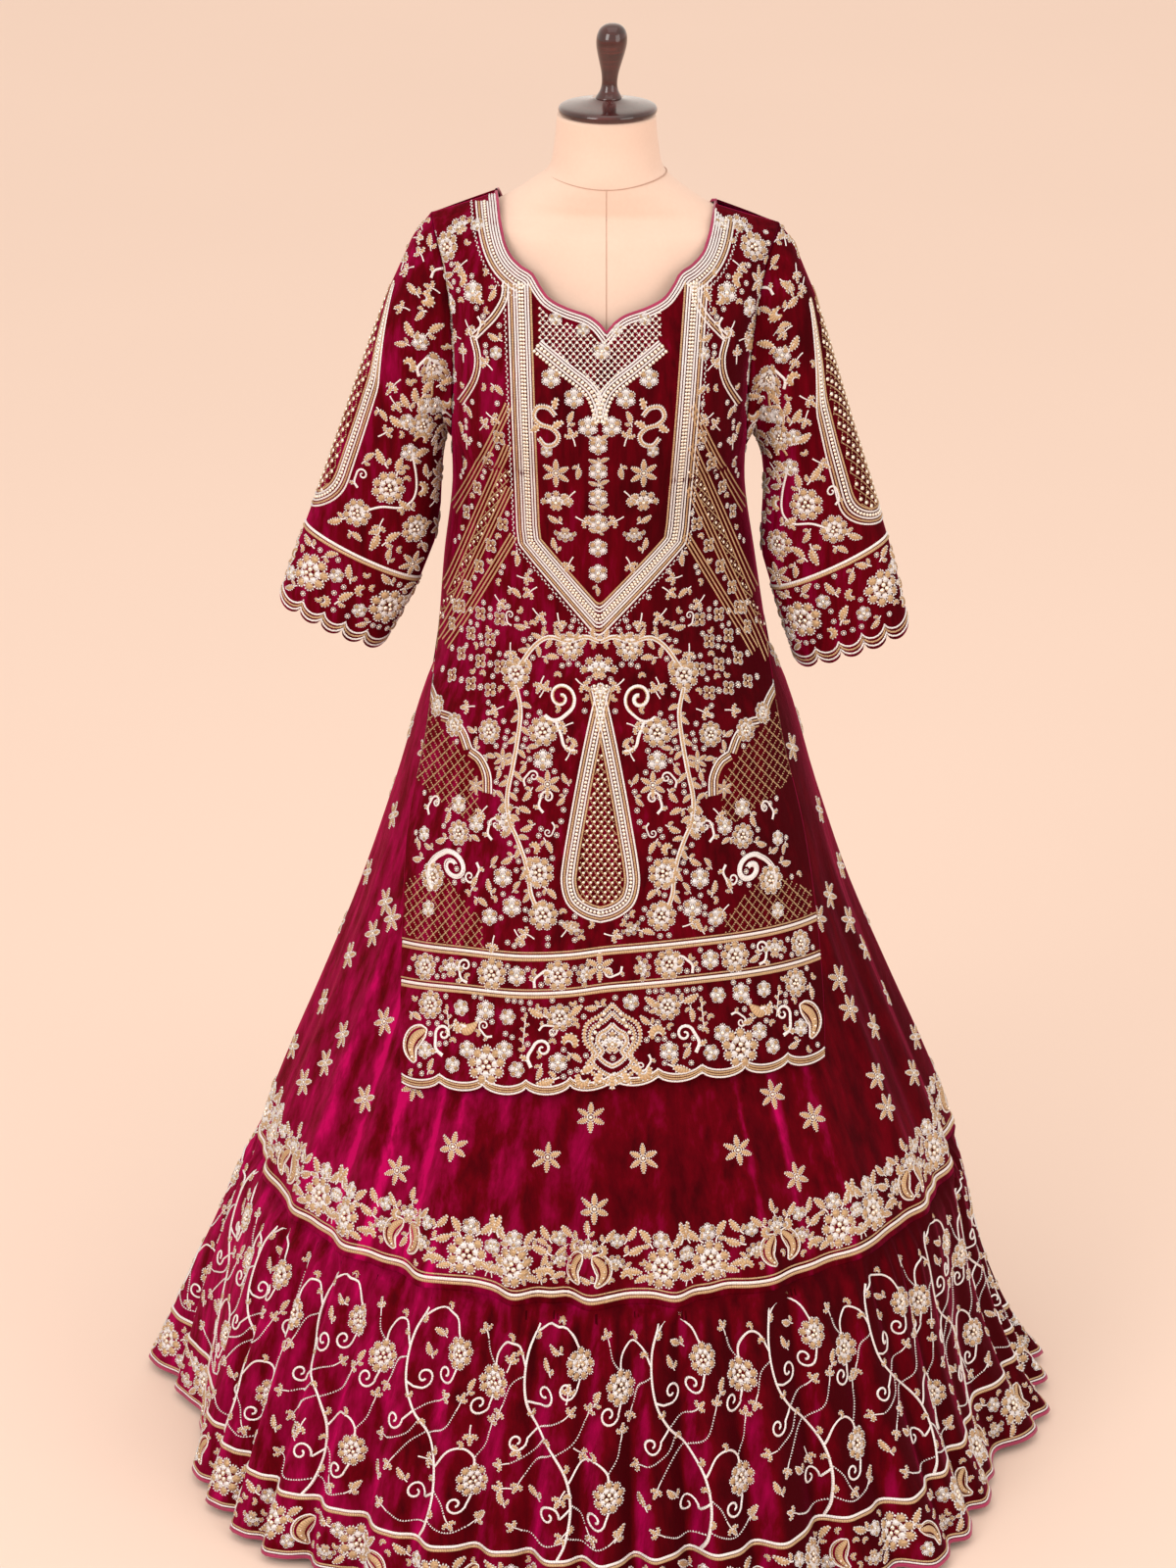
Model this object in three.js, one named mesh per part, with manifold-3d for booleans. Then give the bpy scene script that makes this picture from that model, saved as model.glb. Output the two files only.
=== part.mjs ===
// A bridal lehenga set in heavy velvet, worn by a limbless dress form on its stand: a knee-length kurti with
// three-quarter sleeves and side slits over a gored skirt that ends in a gathered flounce.
// Millimetres, +Z up, the wearer faces -Y. The origin is on the floor, under the middle of the stand's base.
import * as THREE from "three";
import { mergeVertices } from "three/addons/utils/BufferGeometryUtils.js";
import Module from "manifold-3d";

const wasm = await Module();
wasm.setup();

// ---------------------------------------------------------------- driving sizes
const CLOTH = 2; // lined velvet wall
const SEAM_GAP = 0.4; // between two pieces sewn together
const DEGREE = Math.PI / 180;

// Skirt: how far its smooth section reaches to each side, to the front and to the back at each height.
const SKIRT = [
  { z: 340, left: 414, right: 417, front: 409, back: 409 },
  { z: 423, left: 387, right: 387, front: 374, back: 378 },
  { z: 560, left: 331, right: 330, front: 312, back: 322 },
  { z: 680, left: 285, right: 283, front: 263, back: 278 },
  { z: 800, left: 246, right: 246, front: 224, back: 240 },
  { z: 925, left: 208, right: 210, front: 184, back: 202 },
  { z: 1000, left: 176, right: 176, front: 150, back: 160 },
  { z: 1060, left: 142, right: 142, front: 117, back: 124 },
  { z: 1115, left: 120.9, right: 120.9, front: 92, back: 89 },
];
const SKIRT_TOP_Z = 1084; // where the gores meet the waistband
const SKIRT_SEAM_Z = 340; // where the flounce is gathered on
const WAISTBAND_TOP_Z = 1115;
const GORES = 12;
const GORE_COLUMNS = 7;
const GORE_HEIGHTS = [340, 400, 470, 550, 640, 740, 850, 960, 1030, 1084];
const SKIRT_FOLD = { count: 23, depth: 8, fullZ: 400, startZ: 900, drift: 1.3, uneven: 0.8 };

// Flounce: the same from its gathered edge down to the hem, where it flares most at its left and right.
const FLOUNCE = [
  { z: 8, left: 540, right: 532, front: 540, back: 534 },
  { z: 60, left: 522, right: 498, front: 525, back: 521 },
  { z: 140, left: 495, right: 466, front: 498, back: 494 },
  { z: 230, left: 462, right: 443, front: 462, back: 460 },
  { z: 300, left: 436, right: 430, front: 430, back: 430 },
  { z: 339, left: 416, right: 419, front: 410, back: 410 },
];
const HEM_Z = 8;
const FLOUNCE_TOP_Z = SKIRT_SEAM_Z - 0.9;
const FLOUNCE_COLUMNS = 3 * GORE_COLUMNS; // there is a flounce panel under each gore
const FLOUNCE_HEIGHTS = [HEM_Z, 90, 190, 285, FLOUNCE_TOP_Z];
const GATHER = { count: 46, top: 3, hem: 13, drift: 1.7, uneven: 0.9 };
const LOBE = { count: 15, hem: 11, phase: 0.6 };
// Large single folds at the hem: their direction from the front, half-width in degrees and push outwards.
const HEM_FOLDS = [
  { at: -94, spread: 6, push: 18 },
  { at: -76, spread: 11, push: -42 },
  { at: -60, spread: 7, push: 12 },
  { at: 47, spread: 9, push: 18 },
  { at: 68, spread: 7, push: -36 },
  { at: 79, spread: 6, push: 24 },
];

// Kurti: half-width, sideways lean, and depth to the front and back of the bodice at each height.
const KURTI = [
  { z: 505, half: 239, lean: 9, front: 150, back: 130 },
  { z: 600, half: 241, lean: 8, front: 150, back: 130 },
  { z: 700, half: 236, lean: 5, front: 150, back: 130 },
  { z: 800, half: 225, lean: 0, front: 150, back: 130 },
  { z: 900, half: 203, lean: -2, front: 152, back: 128 },
  { z: 1000, half: 187, lean: -4, front: 152, back: 122 },
  { z: 1090, half: 176, lean: -7, front: 147, back: 122 },
  { z: 1170, half: 165, lean: -8, front: 150, back: 108 },
  { z: 1225, half: 165, lean: -8, front: 154, back: 104 },
  { z: 1275, half: 163, lean: -7, front: 156, back: 108 },
  { z: 1330, half: 163, lean: -5, front: 146, back: 106 },
  { z: 1390, half: 168, lean: -3, front: 122, back: 100 },
  { z: 1440, half: 178, lean: -1, front: 104, back: 94 },
  { z: 1480, half: 192, lean: 1, front: 94, back: 88 },
  { z: 1510, half: 196, lean: 2, front: 90, back: 86 },
];
const KURTI_BOTTOM_Z = 505; // the panels' grid, before the hem is cut
const SHOULDER = { neckX: 120, leftZ: 1507, rightZ: 1495, slope: 0.34, tipX: 192, round: 85 };
// The panels' rows: 0 at the shoulder, 1 at the chest, 2 at the bottom. The first ones carry the armhole.
const ARMHOLE_ROWS = [0, 0.307, 0.621, 0.953, 1.048, 1.103, 1.15, 1.181, 1.192];
const LOWER_ROWS = [1.27, 1.36, 1.45, 1.54, 1.63, 1.72, 1.81, 1.9, 2];
const ARMHOLE_HALF_DEPTH = 50;
const OFF_SKIRT = 10; // the panels lie this far outside the skirt's smooth section
const EASE = 14; // how softly the bodice passes into the part that lies on the skirt
const HEM_LINE = [
  { x: -240, z: 533 },
  { x: -163, z: 548 },
  { x: -94, z: 554 },
  { x: -42, z: 560 },
  { x: 8, z: 567 },
  { x: 89, z: 569 },
  { x: 156, z: 565 },
  { x: 258, z: 553 },
];
const HEM_SCALLOP = { count: 10, depth: 9, fromX: -236, toX: 254 };
const BACK_HEM_DROP = 12; // how much lower the back panel's hem hangs
const NECK_SCOOP = [
  { x: 0, z: 1381 },
  { x: 8, z: 1390 },
  { x: 20, z: 1398 },
  { x: 45, z: 1406 },
  { x: 63, z: 1415 },
  { x: 73, z: 1427 },
  { x: 80, z: 1438 },
  { x: 94, z: 1446 },
  { x: 107, z: 1459 },
  { x: 115, z: 1480 },
  { x: 120.5, z: 1512 },
];
const BACK_SCOOP = [
  { x: 0, z: 1436 },
  { x: 45, z: 1440 },
  { x: 80, z: 1453 },
  { x: 112, z: 1476 },
  { x: 120.5, z: 1512 },
];

// Sleeves: the outer and inner edge of each section seen from the front, its half-depth and its lean forward.
const SLEEVE_LEFT = [
  { outX: 213, outZ: 1456, inX: 178, inZ: 1233, depth: 50, forward: 0 },
  { outX: 238, outZ: 1402, inX: 181, inZ: 1216, depth: 47, forward: 1 },
  { outX: 262, outZ: 1340, inX: 184, inZ: 1188, depth: 44, forward: 3 },
  { outX: 289, outZ: 1264, inX: 186, inZ: 1148, depth: 41, forward: 6 },
  { outX: 317, outZ: 1186, inX: 193, inZ: 1106, depth: 38, forward: 9 },
  { outX: 343, outZ: 1118, inX: 213, inZ: 1056, depth: 35, forward: 11 },
  { outX: 373, outZ: 1036, inX: 256, inZ: 978, depth: 32, forward: 13 },
];
const SLEEVE_RIGHT = [
  { outX: 207, outZ: 1449, inX: 165, inZ: 1233, depth: 50, forward: 0 },
  { outX: 231, outZ: 1392, inX: 174, inZ: 1214, depth: 47, forward: 1 },
  { outX: 252, outZ: 1326, inX: 178, inZ: 1180, depth: 44, forward: 3 },
  { outX: 275, outZ: 1250, inX: 176, inZ: 1134, depth: 41, forward: 6 },
  { outX: 301, outZ: 1170, inX: 177, inZ: 1090, depth: 38, forward: 9 },
  { outX: 321, outZ: 1104, inX: 190, inZ: 1046, depth: 35, forward: 11 },
  { outX: 348, outZ: 1000, inX: 219, inZ: 956, depth: 32, forward: 13 },
];
const SLEEVE_SIDES = 16;
const CUFF_SCALLOP = { count: 5, depth: 9 };

// Braid and trims that stand proud of the velvet.
const BRAID = { lift: 0.4, thick: 1.6 };
const YOKE_BRAID = { halfWidth: 15, x: 78, topZ: 1390, cornerZ: 1146, tipZ: 1062 };
const NECK_BRAID = { halfWidth: 8, inset: 11 };
const DROP_BRAID = { halfWidth: 6, topZ: 980, topHalf: 11, bottomZ: 749, bottomHalf: 37 };
const HEM_BRAIDS = [
  { aboveHem: 143, halfWidth: 4 },
  { aboveHem: 104, halfWidth: 4 },
];
const SKIRT_BRAID = { lowZ: 346, highZ: 356 };
const SLEEVE_BRAID = { from: 6.2, to: 6.32 };

// Dress form: half-width, front and back depth of the torso at each height.
const TORSO = [
  { z: 838, side: 146, front: 86, back: 100 },
  { z: 870, side: 160, front: 96, back: 114 },
  { z: 960, side: 160, front: 98, back: 116 },
  { z: 1030, side: 138, front: 86, back: 96 },
  { z: 1100, side: 116, front: 82, back: 76 },
  { z: 1190, side: 130, front: 100, back: 78 },
  { z: 1275, side: 150, front: 132, back: 86 },
  { z: 1340, side: 148, front: 124, back: 90 },
  { z: 1400, side: 154, front: 102, back: 86 },
  { z: 1440, side: 166, front: 88, back: 80 },
  { z: 1470, side: 162, front: 74, back: 66 },
  { z: 1487, side: 131.5, front: 57, back: 53 },
  { z: 1502, side: 104, front: 58, back: 54 },
  { z: 1515, side: 84, front: 60, back: 56 },
  { z: 1532, side: 64, front: 60, back: 56 },
  { z: 1560, side: 57, front: 54, back: 52 },
  { z: 1592, side: 54, front: 52, back: 51 },
];
const TORSO_SIDES = 20;
const SHOULDER_TILT = 0.03; // the form's right shoulder is the lower one
const CAP = { bottomZ: 1592.3, rim: 54, rimZ: 1600, topZ: 1609, neck: 15, x: 1.5 };
const KNOB = { bottomZ: 1609.3, neckZ: 1628, ballZ: 1672, topZ: 1691, foot: 14, neck: 8.5, ball: 17 };
const KNOB_LEAN = 0.05;
const TURNED_SIDES = 22;
const POLE = { radius: 16, bottomZ: 20.3, topZ: 830 };
const FLANGE = { radius: 60, height: 7.4, middleZ: 834 };
const BASE = { radius: 195, height: 20, edge: 6 };

// ---------------------------------------------------------------- small mathematics
const clamp = (value, low, high) => Math.min(high, Math.max(low, value));
const mix = (a, b, share) => a + (b - a) * share;
const smoothStep = (from, to, value) => {
  const t = clamp((value - from) / (to - from), 0, 1);
  return t * t * (3 - 2 * t);
};
// The larger of two lengths, with the corner between them eased.
const easedMax = (a, b, ease) => (a + b + Math.hypot(a - b, ease)) / 2;
const spaced = (from, to, steps) => Array.from({ length: steps + 1 }, (_, i) => mix(from, to, i / steps));

// A smooth curve through one column of a table whose rows rise in their key.
function through(rows, column, value, key = "z") {
  const last = rows.length - 1;
  const at = clamp(value, rows[0][key], rows[last][key]);
  let i = 0;
  while (i < last - 1 && at > rows[i + 1][key]) i++;
  const slope = (a, b) => (rows[b][column] - rows[a][column]) / (rows[b][key] - rows[a][key]);
  const span = rows[i + 1][key] - rows[i][key];
  const t = (at - rows[i][key]) / span;
  const leaving = slope(Math.max(0, i - 1), i + 1) * span;
  const arriving = slope(i, Math.min(last, i + 2)) * span;
  const t2 = t * t;
  const t3 = t2 * t;
  return (
    rows[i][column] * (2 * t3 - 3 * t2 + 1) +
    leaving * (t3 - 2 * t2 + t) +
    rows[i + 1][column] * (3 * t2 - 2 * t3) +
    arriving * (t3 - t2)
  );
}

// ---------------------------------------------------------------- surfaces
// The smooth oval section of a skirt table at one height. The angle is 0 at the front and grows towards +X.
function ovalRadius(rows, angle, z) {
  const depth = through(rows, Math.cos(angle) >= 0 ? "front" : "back", z);
  const side = through(rows, "side" in rows[0] ? "side" : Math.sin(angle) >= 0 ? "right" : "left", z);
  return 1 / Math.hypot(Math.sin(angle) / side, Math.cos(angle) / depth);
}
function onCircle(radius, angle, z) {
  return new THREE.Vector3(radius * Math.sin(angle), -radius * Math.cos(angle), z);
}

// Soft vertical folds of the skirt, pressed flat where the kurti's panels lie on it.
function skirtPoint(angle, z) {
  const base = ovalRadius(SKIRT, angle, z);
  const fold = SKIRT_FOLD;
  const unevenness = fold.drift * Math.sin(2 * angle + 0.7) + fold.uneven * Math.sin(5 * angle);
  const phase = fold.count * angle + unevenness;
  const growth = smoothStep(fold.startZ, fold.fullZ, z);
  const underKurti = smoothStep(560, 500, z) + smoothStep(220, 260, Math.abs(base * Math.sin(angle)));
  const depth = fold.depth * growth * (0.7 + 0.3 * Math.sin(3 * angle + 2.1)) * clamp(underKurti, 0.2, 1);
  return onCircle(base + depth * Math.cos(phase), angle, z);
}

// The skirt's lower edge, which runs straight between the gores' columns.
function skirtEdgeRadius(angle) {
  const columns = GORES * GORE_COLUMNS;
  const place = ((angle / (2 * Math.PI)) * columns + columns + GORE_COLUMNS / 2) % columns;
  const column = (k) => skirtPoint(((k - GORE_COLUMNS / 2) / columns) * 2 * Math.PI, SKIRT_SEAM_Z);
  const edge = column(Math.floor(place)).lerp(column(Math.floor(place) + 1), place - Math.floor(place));
  return Math.hypot(edge.x, edge.y);
}

// The gathered flounce: small gathers just under the seam open into deeper folds at the hem. Its own edge
// follows the skirt's.
function flouncePoint(angle, z) {
  const down = clamp((FLOUNCE_TOP_Z - z) / (FLOUNCE_TOP_Z - HEM_Z), 0, 1);
  let single = 0;
  let calm = 0;
  for (const fold of HEM_FOLDS) {
    const away = (((angle / DEGREE - fold.at + 540) % 360) - 180) / fold.spread;
    const weight = Math.exp(-away * away);
    single += fold.push * Math.pow(down, 1.5) * weight;
    if (fold.push < 0) calm = Math.max(calm, 0.75 * weight);
  }
  const unevenness = GATHER.drift * Math.sin(3 * angle + 1.1) + GATHER.uneven * Math.sin(7 * angle);
  const phase = GATHER.count * angle + unevenness;
  const depth = mix(GATHER.top, GATHER.hem, Math.pow(down, 0.8)) * (0.8 + 0.2 * Math.sin(4 * angle + 0.5));
  const wave = Math.sin(phase) + 0.25 * Math.sin(2 * phase + 0.8);
  const lobe = LOBE.hem * down * down * Math.cos(LOBE.count * angle + LOBE.phase + Math.sin(2 * angle));
  const free = ovalRadius(FLOUNCE, angle, z) + (depth * wave + lobe) * (1 - calm) + single;
  return onCircle(mix(skirtEdgeRadius(angle), free, smoothStep(0, 0.14, down)), angle, z);
}

// How far the panel that lies on the skirt stands in front of (or behind) the middle plane at x, z.
function overSkirtDepth(x, z, column) {
  const share = x / (through(SKIRT, x < 0 ? "left" : "right", z) + OFF_SKIRT);
  return (through(SKIRT, column, z) + OFF_SKIRT) * Math.sqrt(Math.max(0, 1 - share * share));
}
function shoulderZ(x) {
  const { neckX, leftZ, rightZ, slope } = SHOULDER;
  const ridge = mix(leftZ, rightZ, clamp((x + neckX) / (2 * neckX), 0, 1));
  return ridge - slope * Math.max(0, Math.abs(x) - neckX);
}
// The height of a panel's row, above one place across the shoulder.
function rowZ(x, row) {
  const ridge = shoulderZ(x);
  if (row <= 1) return ridge - SHOULDER.round * (1 - Math.cos((row * Math.PI) / 2));
  return mix(ridge - SHOULDER.round, KURTI_BOTTOM_Z, row - 1);
}
function armholeDepth(side, z) {
  const topZ = rowZ(side * SHOULDER.tipX, 0);
  const bottomZ = rowZ(side * SHOULDER.tipX, ARMHOLE_ROWS[ARMHOLE_ROWS.length - 1]);
  const share = (2 * z - topZ - bottomZ) / (topZ - bottomZ);
  return ARMHOLE_HALF_DEPTH * Math.sqrt(Math.max(0, 1 - share * share));
}

// A point of the front (side -1) or back (side 1) panel's outer face. Across runs from -1 to 1 between the
// side seams; the rows are those of the tables above.
function kurtiPoint(across, row, side) {
  const column = side < 0 ? "front" : "back";
  const z = rowZ(across * SHOULDER.tipX, row);
  const x = through(KURTI, "lean", z) + across * through(KURTI, "half", z);
  const rounding = Math.sin((Math.min(row, 1) * Math.PI) / 2);
  const bulge = Math.sqrt(1 - across * across);
  const body = mix(armholeDepth(Math.sign(across), z), through(KURTI, column, z) * rounding, bulge);
  const ease = EASE * smoothStep(WAISTBAND_TOP_Z, 1000, z);
  const depth = z > WAISTBAND_TOP_Z ? body : easedMax(body, overSkirtDepth(x, z, column), ease);
  return new THREE.Vector3(x, side * (depth + SEAM_GAP), z);
}

// A point of a sleeve's outer face. Round counts its sides from the shoulder over the front, down its
// sections from 0 at the armhole, where it meets the panels' edges point by point.
function sleevePoint(rows, side, round, down) {
  const last = ARMHOLE_ROWS.length - 1;
  const corner = (k, section) => {
    const turn = (k / SLEEVE_SIDES) * 2 * Math.PI;
    if (section === 0) {
      const point = kurtiPoint(side, ARMHOLE_ROWS[k <= last ? k : SLEEVE_SIDES - k], k <= last ? -1 : 1);
      point.x += side * 2 * SEAM_GAP;
      if (k === 0 || k === last) point.y = 0;
      return point;
    }
    const row = rows[section - 1];
    const along = Math.cos(turn);
    const x = (row.outX + row.inX + (row.outX - row.inX) * along) / 2;
    const z = (row.outZ + row.inZ + (row.outZ - row.inZ) * along) / 2;
    return new THREE.Vector3(side * x, -row.forward - row.depth * Math.sin(turn), z);
  };
  const sides = SLEEVE_SIDES;
  const k = (Math.floor(round) + sides) % sides;
  const share = round - Math.floor(round);
  const around = (section) => corner(k, section).lerp(corner((k + 1) % sides, section), share);
  const section = Math.min(Math.floor(down), rows.length - 1);
  return around(section).lerp(around(section + 1), down - section);
}

// ---------------------------------------------------------------- solids
function geometryOf(points, faces) {
  const geometry = new THREE.BufferGeometry();
  geometry.setAttribute("position", new THREE.Float32BufferAttribute(points.flatMap((p) => p.toArray()), 3));
  geometry.setIndex(faces);
  let volume = 0;
  for (let i = 0; i < faces.length; i += 3) {
    const [a, b, c] = [points[faces[i]], points[faces[i + 1]], points[faces[i + 2]]];
    volume += a.dot(b.clone().cross(c));
  }
  if (volume < 0) {
    for (let i = 0; i < faces.length; i += 3) [faces[i], faces[i + 1]] = [faces[i + 1], faces[i]];
    geometry.setIndex(faces);
  }
  return geometry;
}

// A cloth wall over surface(u, v) at the given rows of u and v. Along the outward normal it reaches from lift
// down to lift - thick.
function wall(surface, us, vs, { closed = false, lift = 0, thick = CLOTH, outward = 1 } = {}) {
  const points = [];
  const columns = us.length;
  const normalAt = (u, v) => {
    const step = 1e-2;
    const du = surface(u + step, v).sub(surface(u - step, v));
    const dv = surface(u, v + step).sub(surface(u, v - step));
    return du.cross(dv).normalize().multiplyScalar(outward);
  };
  for (const depth of [lift, lift - thick])
    for (const v of vs) for (const u of us) points.push(surface(u, v).addScaledVector(normalAt(u, v), depth));
  const layer = columns * vs.length;
  const at = (side, i, j) => side * layer + j * columns + (i % columns);
  const faces = [];
  const quad = (a, b, c, d) => faces.push(a, b, c, a, c, d);
  const spans = closed ? columns : columns - 1;
  for (let j = 0; j < vs.length - 1; j++)
    for (let i = 0; i < spans; i++) {
      quad(at(0, i, j), at(0, i + 1, j), at(0, i + 1, j + 1), at(0, i, j + 1));
      quad(at(1, i, j), at(1, i, j + 1), at(1, i + 1, j + 1), at(1, i + 1, j));
    }
  const top = vs.length - 1;
  for (let i = 0; i < spans; i++) {
    quad(at(0, i, 0), at(1, i, 0), at(1, i + 1, 0), at(0, i + 1, 0));
    quad(at(0, i, top), at(0, i + 1, top), at(1, i + 1, top), at(1, i, top));
  }
  if (!closed)
    for (let j = 0; j < top; j++) {
      quad(at(0, 0, j), at(0, 0, j + 1), at(1, 0, j + 1), at(1, 0, j));
      quad(at(0, spans, j), at(1, spans, j), at(1, spans, j + 1), at(0, spans, j + 1));
    }
  return geometryOf(points, faces);
}

// The torso: oval rings tied together, flat at both ends, its shoulders tilted.
function torso() {
  const angles = spaced(0, 2 * Math.PI, TORSO_SIDES).slice(0, -1);
  const points = [];
  for (const row of TORSO)
    for (const angle of angles) {
      const point = onCircle(ovalRadius(TORSO, angle, row.z), angle, row.z);
      const tilted = smoothStep(1400, 1470, row.z) * smoothStep(1550, 1510, row.z);
      point.z -= SHOULDER_TILT * tilted * point.x;
      points.push(point);
    }
  const sides = TORSO_SIDES;
  const faces = [];
  for (let j = 0; j < TORSO.length - 1; j++)
    for (let i = 0; i < sides; i++) {
      const [a, b] = [j * sides + i, j * sides + ((i + 1) % sides)];
      faces.push(a, b, b + sides, a, b + sides, a + sides);
    }
  const top = points.length - sides;
  const ends = [points.length, points.length + 1];
  points.push(new THREE.Vector3(0, 0, TORSO[0].z), new THREE.Vector3(0, 0, TORSO[TORSO.length - 1].z));
  for (let i = 0; i < sides; i++) {
    const next = (i + 1) % sides;
    faces.push(ends[0], next, i, ends[1], top + i, top + next);
  }
  return geometryOf(points, faces);
}

// A turned body from a profile of (radius, z) points that starts and ends on the axis.
function turned(profile, sides = TURNED_SIDES) {
  const points = profile.map(([radius, z]) => new THREE.Vector2(radius, z));
  return new THREE.LatheGeometry(points, sides).rotateX(Math.PI / 2);
}

function solid(geometry) {
  const bare = geometry.clone();
  bare.deleteAttribute("normal");
  bare.deleteAttribute("uv");
  const merged = mergeVertices(bare, 1e-3);
  const vertProperties = new Float32Array(merged.attributes.position.array);
  const triVerts = new Uint32Array(merged.index.array);
  return new wasm.Manifold(new wasm.Mesh({ numProp: 3, vertProperties, triVerts }));
}

function geometryFrom(manifold) {
  const mesh = manifold.getMesh();
  const positions = [];
  for (let i = 0; i < mesh.numVert; i++) {
    const at = i * mesh.numProp;
    positions.push(...mesh.vertProperties.subarray(at, at + 3));
  }
  const geometry = new THREE.BufferGeometry();
  geometry.setAttribute("position", new THREE.Float32BufferAttribute(positions, 3));
  geometry.setIndex([...mesh.triVerts]);
  return geometry;
}
// A cutter: an outline in the front view, pushed through along Y between two depths.
function cutter(outline, fromY, toY) {
  const shape = new THREE.Shape(outline.map((p) => new THREE.Vector2(p.x, p.y)));
  const geometry = new THREE.ExtrudeGeometry(shape, { depth: toY - fromY, bevelEnabled: false });
  return solid(geometry.rotateX(Math.PI / 2).translate(0, toY, 0));
}
function cut(geometry, ...tools) {
  return geometryFrom(tools.reduce((body, tool) => body.subtract(tool), solid(geometry)));
}

// ---------------------------------------------------------------- materials
const velvet = new THREE.MeshStandardMaterial({ color: 0x7a0a30, roughness: 0.8 });
const zardozi = new THREE.MeshStandardMaterial({ color: 0xc9a86a, roughness: 0.4, metalness: 0.7 });
const formCover = new THREE.MeshStandardMaterial({ color: 0xead2b8, roughness: 0.6 });
const lacqueredWood = new THREE.MeshStandardMaterial({ color: 0x4a130c, roughness: 0.2 });
const paintedSteel = new THREE.MeshStandardMaterial({ color: 0x2a2522, roughness: 0.4, metalness: 0.6 });

const outfit = new THREE.Group();
function add(name, geometry, material) {
  const mesh = new THREE.Mesh(geometry, material);
  mesh.name = name;
  outfit.add(mesh);
}

// ---------------------------------------------------------------- dress form and stand
function addDressForm() {
  add("form_torso", torso(), formCover);
  const rimRun = spaced(0, Math.PI / 2, 4).map((turn) => [
    CAP.neck + (CAP.rim - CAP.neck) * Math.cos(turn),
    CAP.rimZ + (CAP.topZ - CAP.rimZ) * Math.sin(turn),
  ]);
  const cap = turned([[0, CAP.bottomZ], [CAP.rim - 3, CAP.bottomZ], ...rimRun, [0, CAP.topZ]]);
  add("neck_cap", cap.translate(CAP.x, 0, 0), lacqueredWood);
  const ballRun = spaced(-0.9, Math.PI / 2 - 0.15, 5).map((turn) => [
    KNOB.ball * Math.cos(turn),
    KNOB.ballZ + (turn < 0 ? 32 : KNOB.topZ - KNOB.ballZ) * Math.sin(turn),
  ]);
  const foot = [
    [0, KNOB.bottomZ],
    [KNOB.foot, KNOB.bottomZ],
    [KNOB.foot - 2, KNOB.bottomZ + 6],
    [KNOB.neck, KNOB.neckZ],
  ];
  const knob = turned([...foot, ...ballRun, [0, KNOB.topZ]], 20);
  const stand = new THREE.Matrix4().makeShear(0, 0, 0, 0, KNOB_LEAN, 0);
  knob.translate(0, 0, -KNOB.bottomZ).applyMatrix4(stand).translate(CAP.x + 1, 0, KNOB.bottomZ);
  add("neck_knob", knob, lacqueredWood);
  const flange = new THREE.CylinderGeometry(FLANGE.radius, FLANGE.radius, FLANGE.height, TURNED_SIDES);
  add("form_flange", flange.rotateX(Math.PI / 2).translate(0, 0, FLANGE.middleZ), paintedSteel);
  const pole = new THREE.CylinderGeometry(POLE.radius, POLE.radius, POLE.topZ - POLE.bottomZ, TURNED_SIDES);
  add("stand_pole", pole.rotateX(Math.PI / 2).translate(0, 0, (POLE.topZ + POLE.bottomZ) / 2), paintedSteel);
  const base = [
    [0, 0],
    [BASE.radius, 0],
    [BASE.radius, BASE.height - BASE.edge],
    [BASE.radius - BASE.edge, BASE.height],
    [0, BASE.height],
  ];
  add("stand_base", turned(base, 36), paintedSteel);
}

// ---------------------------------------------------------------- skirt
function addSkirt() {
  const band = (angle, z) => onCircle(ovalRadius(SKIRT, angle, z), angle, z);
  const bandAngles = spaced(0, 2 * Math.PI, 36).slice(0, -1);
  const bandHeights = [SKIRT_TOP_Z + SEAM_GAP, WAISTBAND_TOP_Z];
  add("waistband", wall(band, bandAngles, bandHeights, { closed: true }), velvet);

  for (let k = 0; k < GORES; k++) {
    const [from, to] = [(k - 0.5) / GORES, (k + 0.5) / GORES].map((share) => share * 2 * Math.PI);
    // The end angles are trimmed by the radius, so the seam's gap is the same at every height.
    const gore = (share, z) => {
      const gap = SEAM_GAP / 2 / ovalRadius(SKIRT, mix(from, to, share), z);
      return skirtPoint(mix(from + gap, to - gap, share), z);
    };
    add(`skirt_gore_${k + 1}`, wall(gore, spaced(0, 1, GORE_COLUMNS), GORE_HEIGHTS), velvet);
  }

  for (let k = 0; k < GORES; k++) {
    const [from, to] = [(k - 0.5) / GORES, (k + 0.5) / GORES].map((share) => share * 2 * Math.PI);
    const panel = (share, z) => {
      const gap = SEAM_GAP / 2 / ovalRadius(FLOUNCE, mix(from, to, share), z);
      return flouncePoint(mix(from + gap, to - gap, share), z);
    };
    add(`flounce_${k + 1}`, wall(panel, spaced(0, 1, FLOUNCE_COLUMNS), FLOUNCE_HEIGHTS), velvet);
  }

  // The seam's braid is made on the gores' own columns, so it follows their folds.
  const columns = GORES * GORE_COLUMNS;
  const braidAngles = spaced(0, 2 * Math.PI, columns).slice(0, -1).map((angle) => angle + Math.PI / GORES);
  const braidHeights = [SKIRT_BRAID.lowZ, SKIRT_BRAID.highZ];
  const onGores = { closed: true, lift: BRAID.lift + BRAID.thick, thick: BRAID.thick };
  add("skirt_seam_braid", wall(skirtPoint, braidAngles, braidHeights, onGores), zardozi);
}

// ---------------------------------------------------------------- kurti
// A scalloped edge between two places of a line(x), as points in the front view.
function scallops(line, fromX, toX, { count, depth }) {
  const steps = 4;
  return spaced(0, count, count * steps).map((place) => {
    const x = mix(fromX, toX, place / count);
    return new THREE.Vector2(x, line(x) + depth * (1 - Math.abs(Math.sin(place * Math.PI))));
  });
}
const hemZ = (x) => through(HEM_LINE, "z", x, "x");

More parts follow.
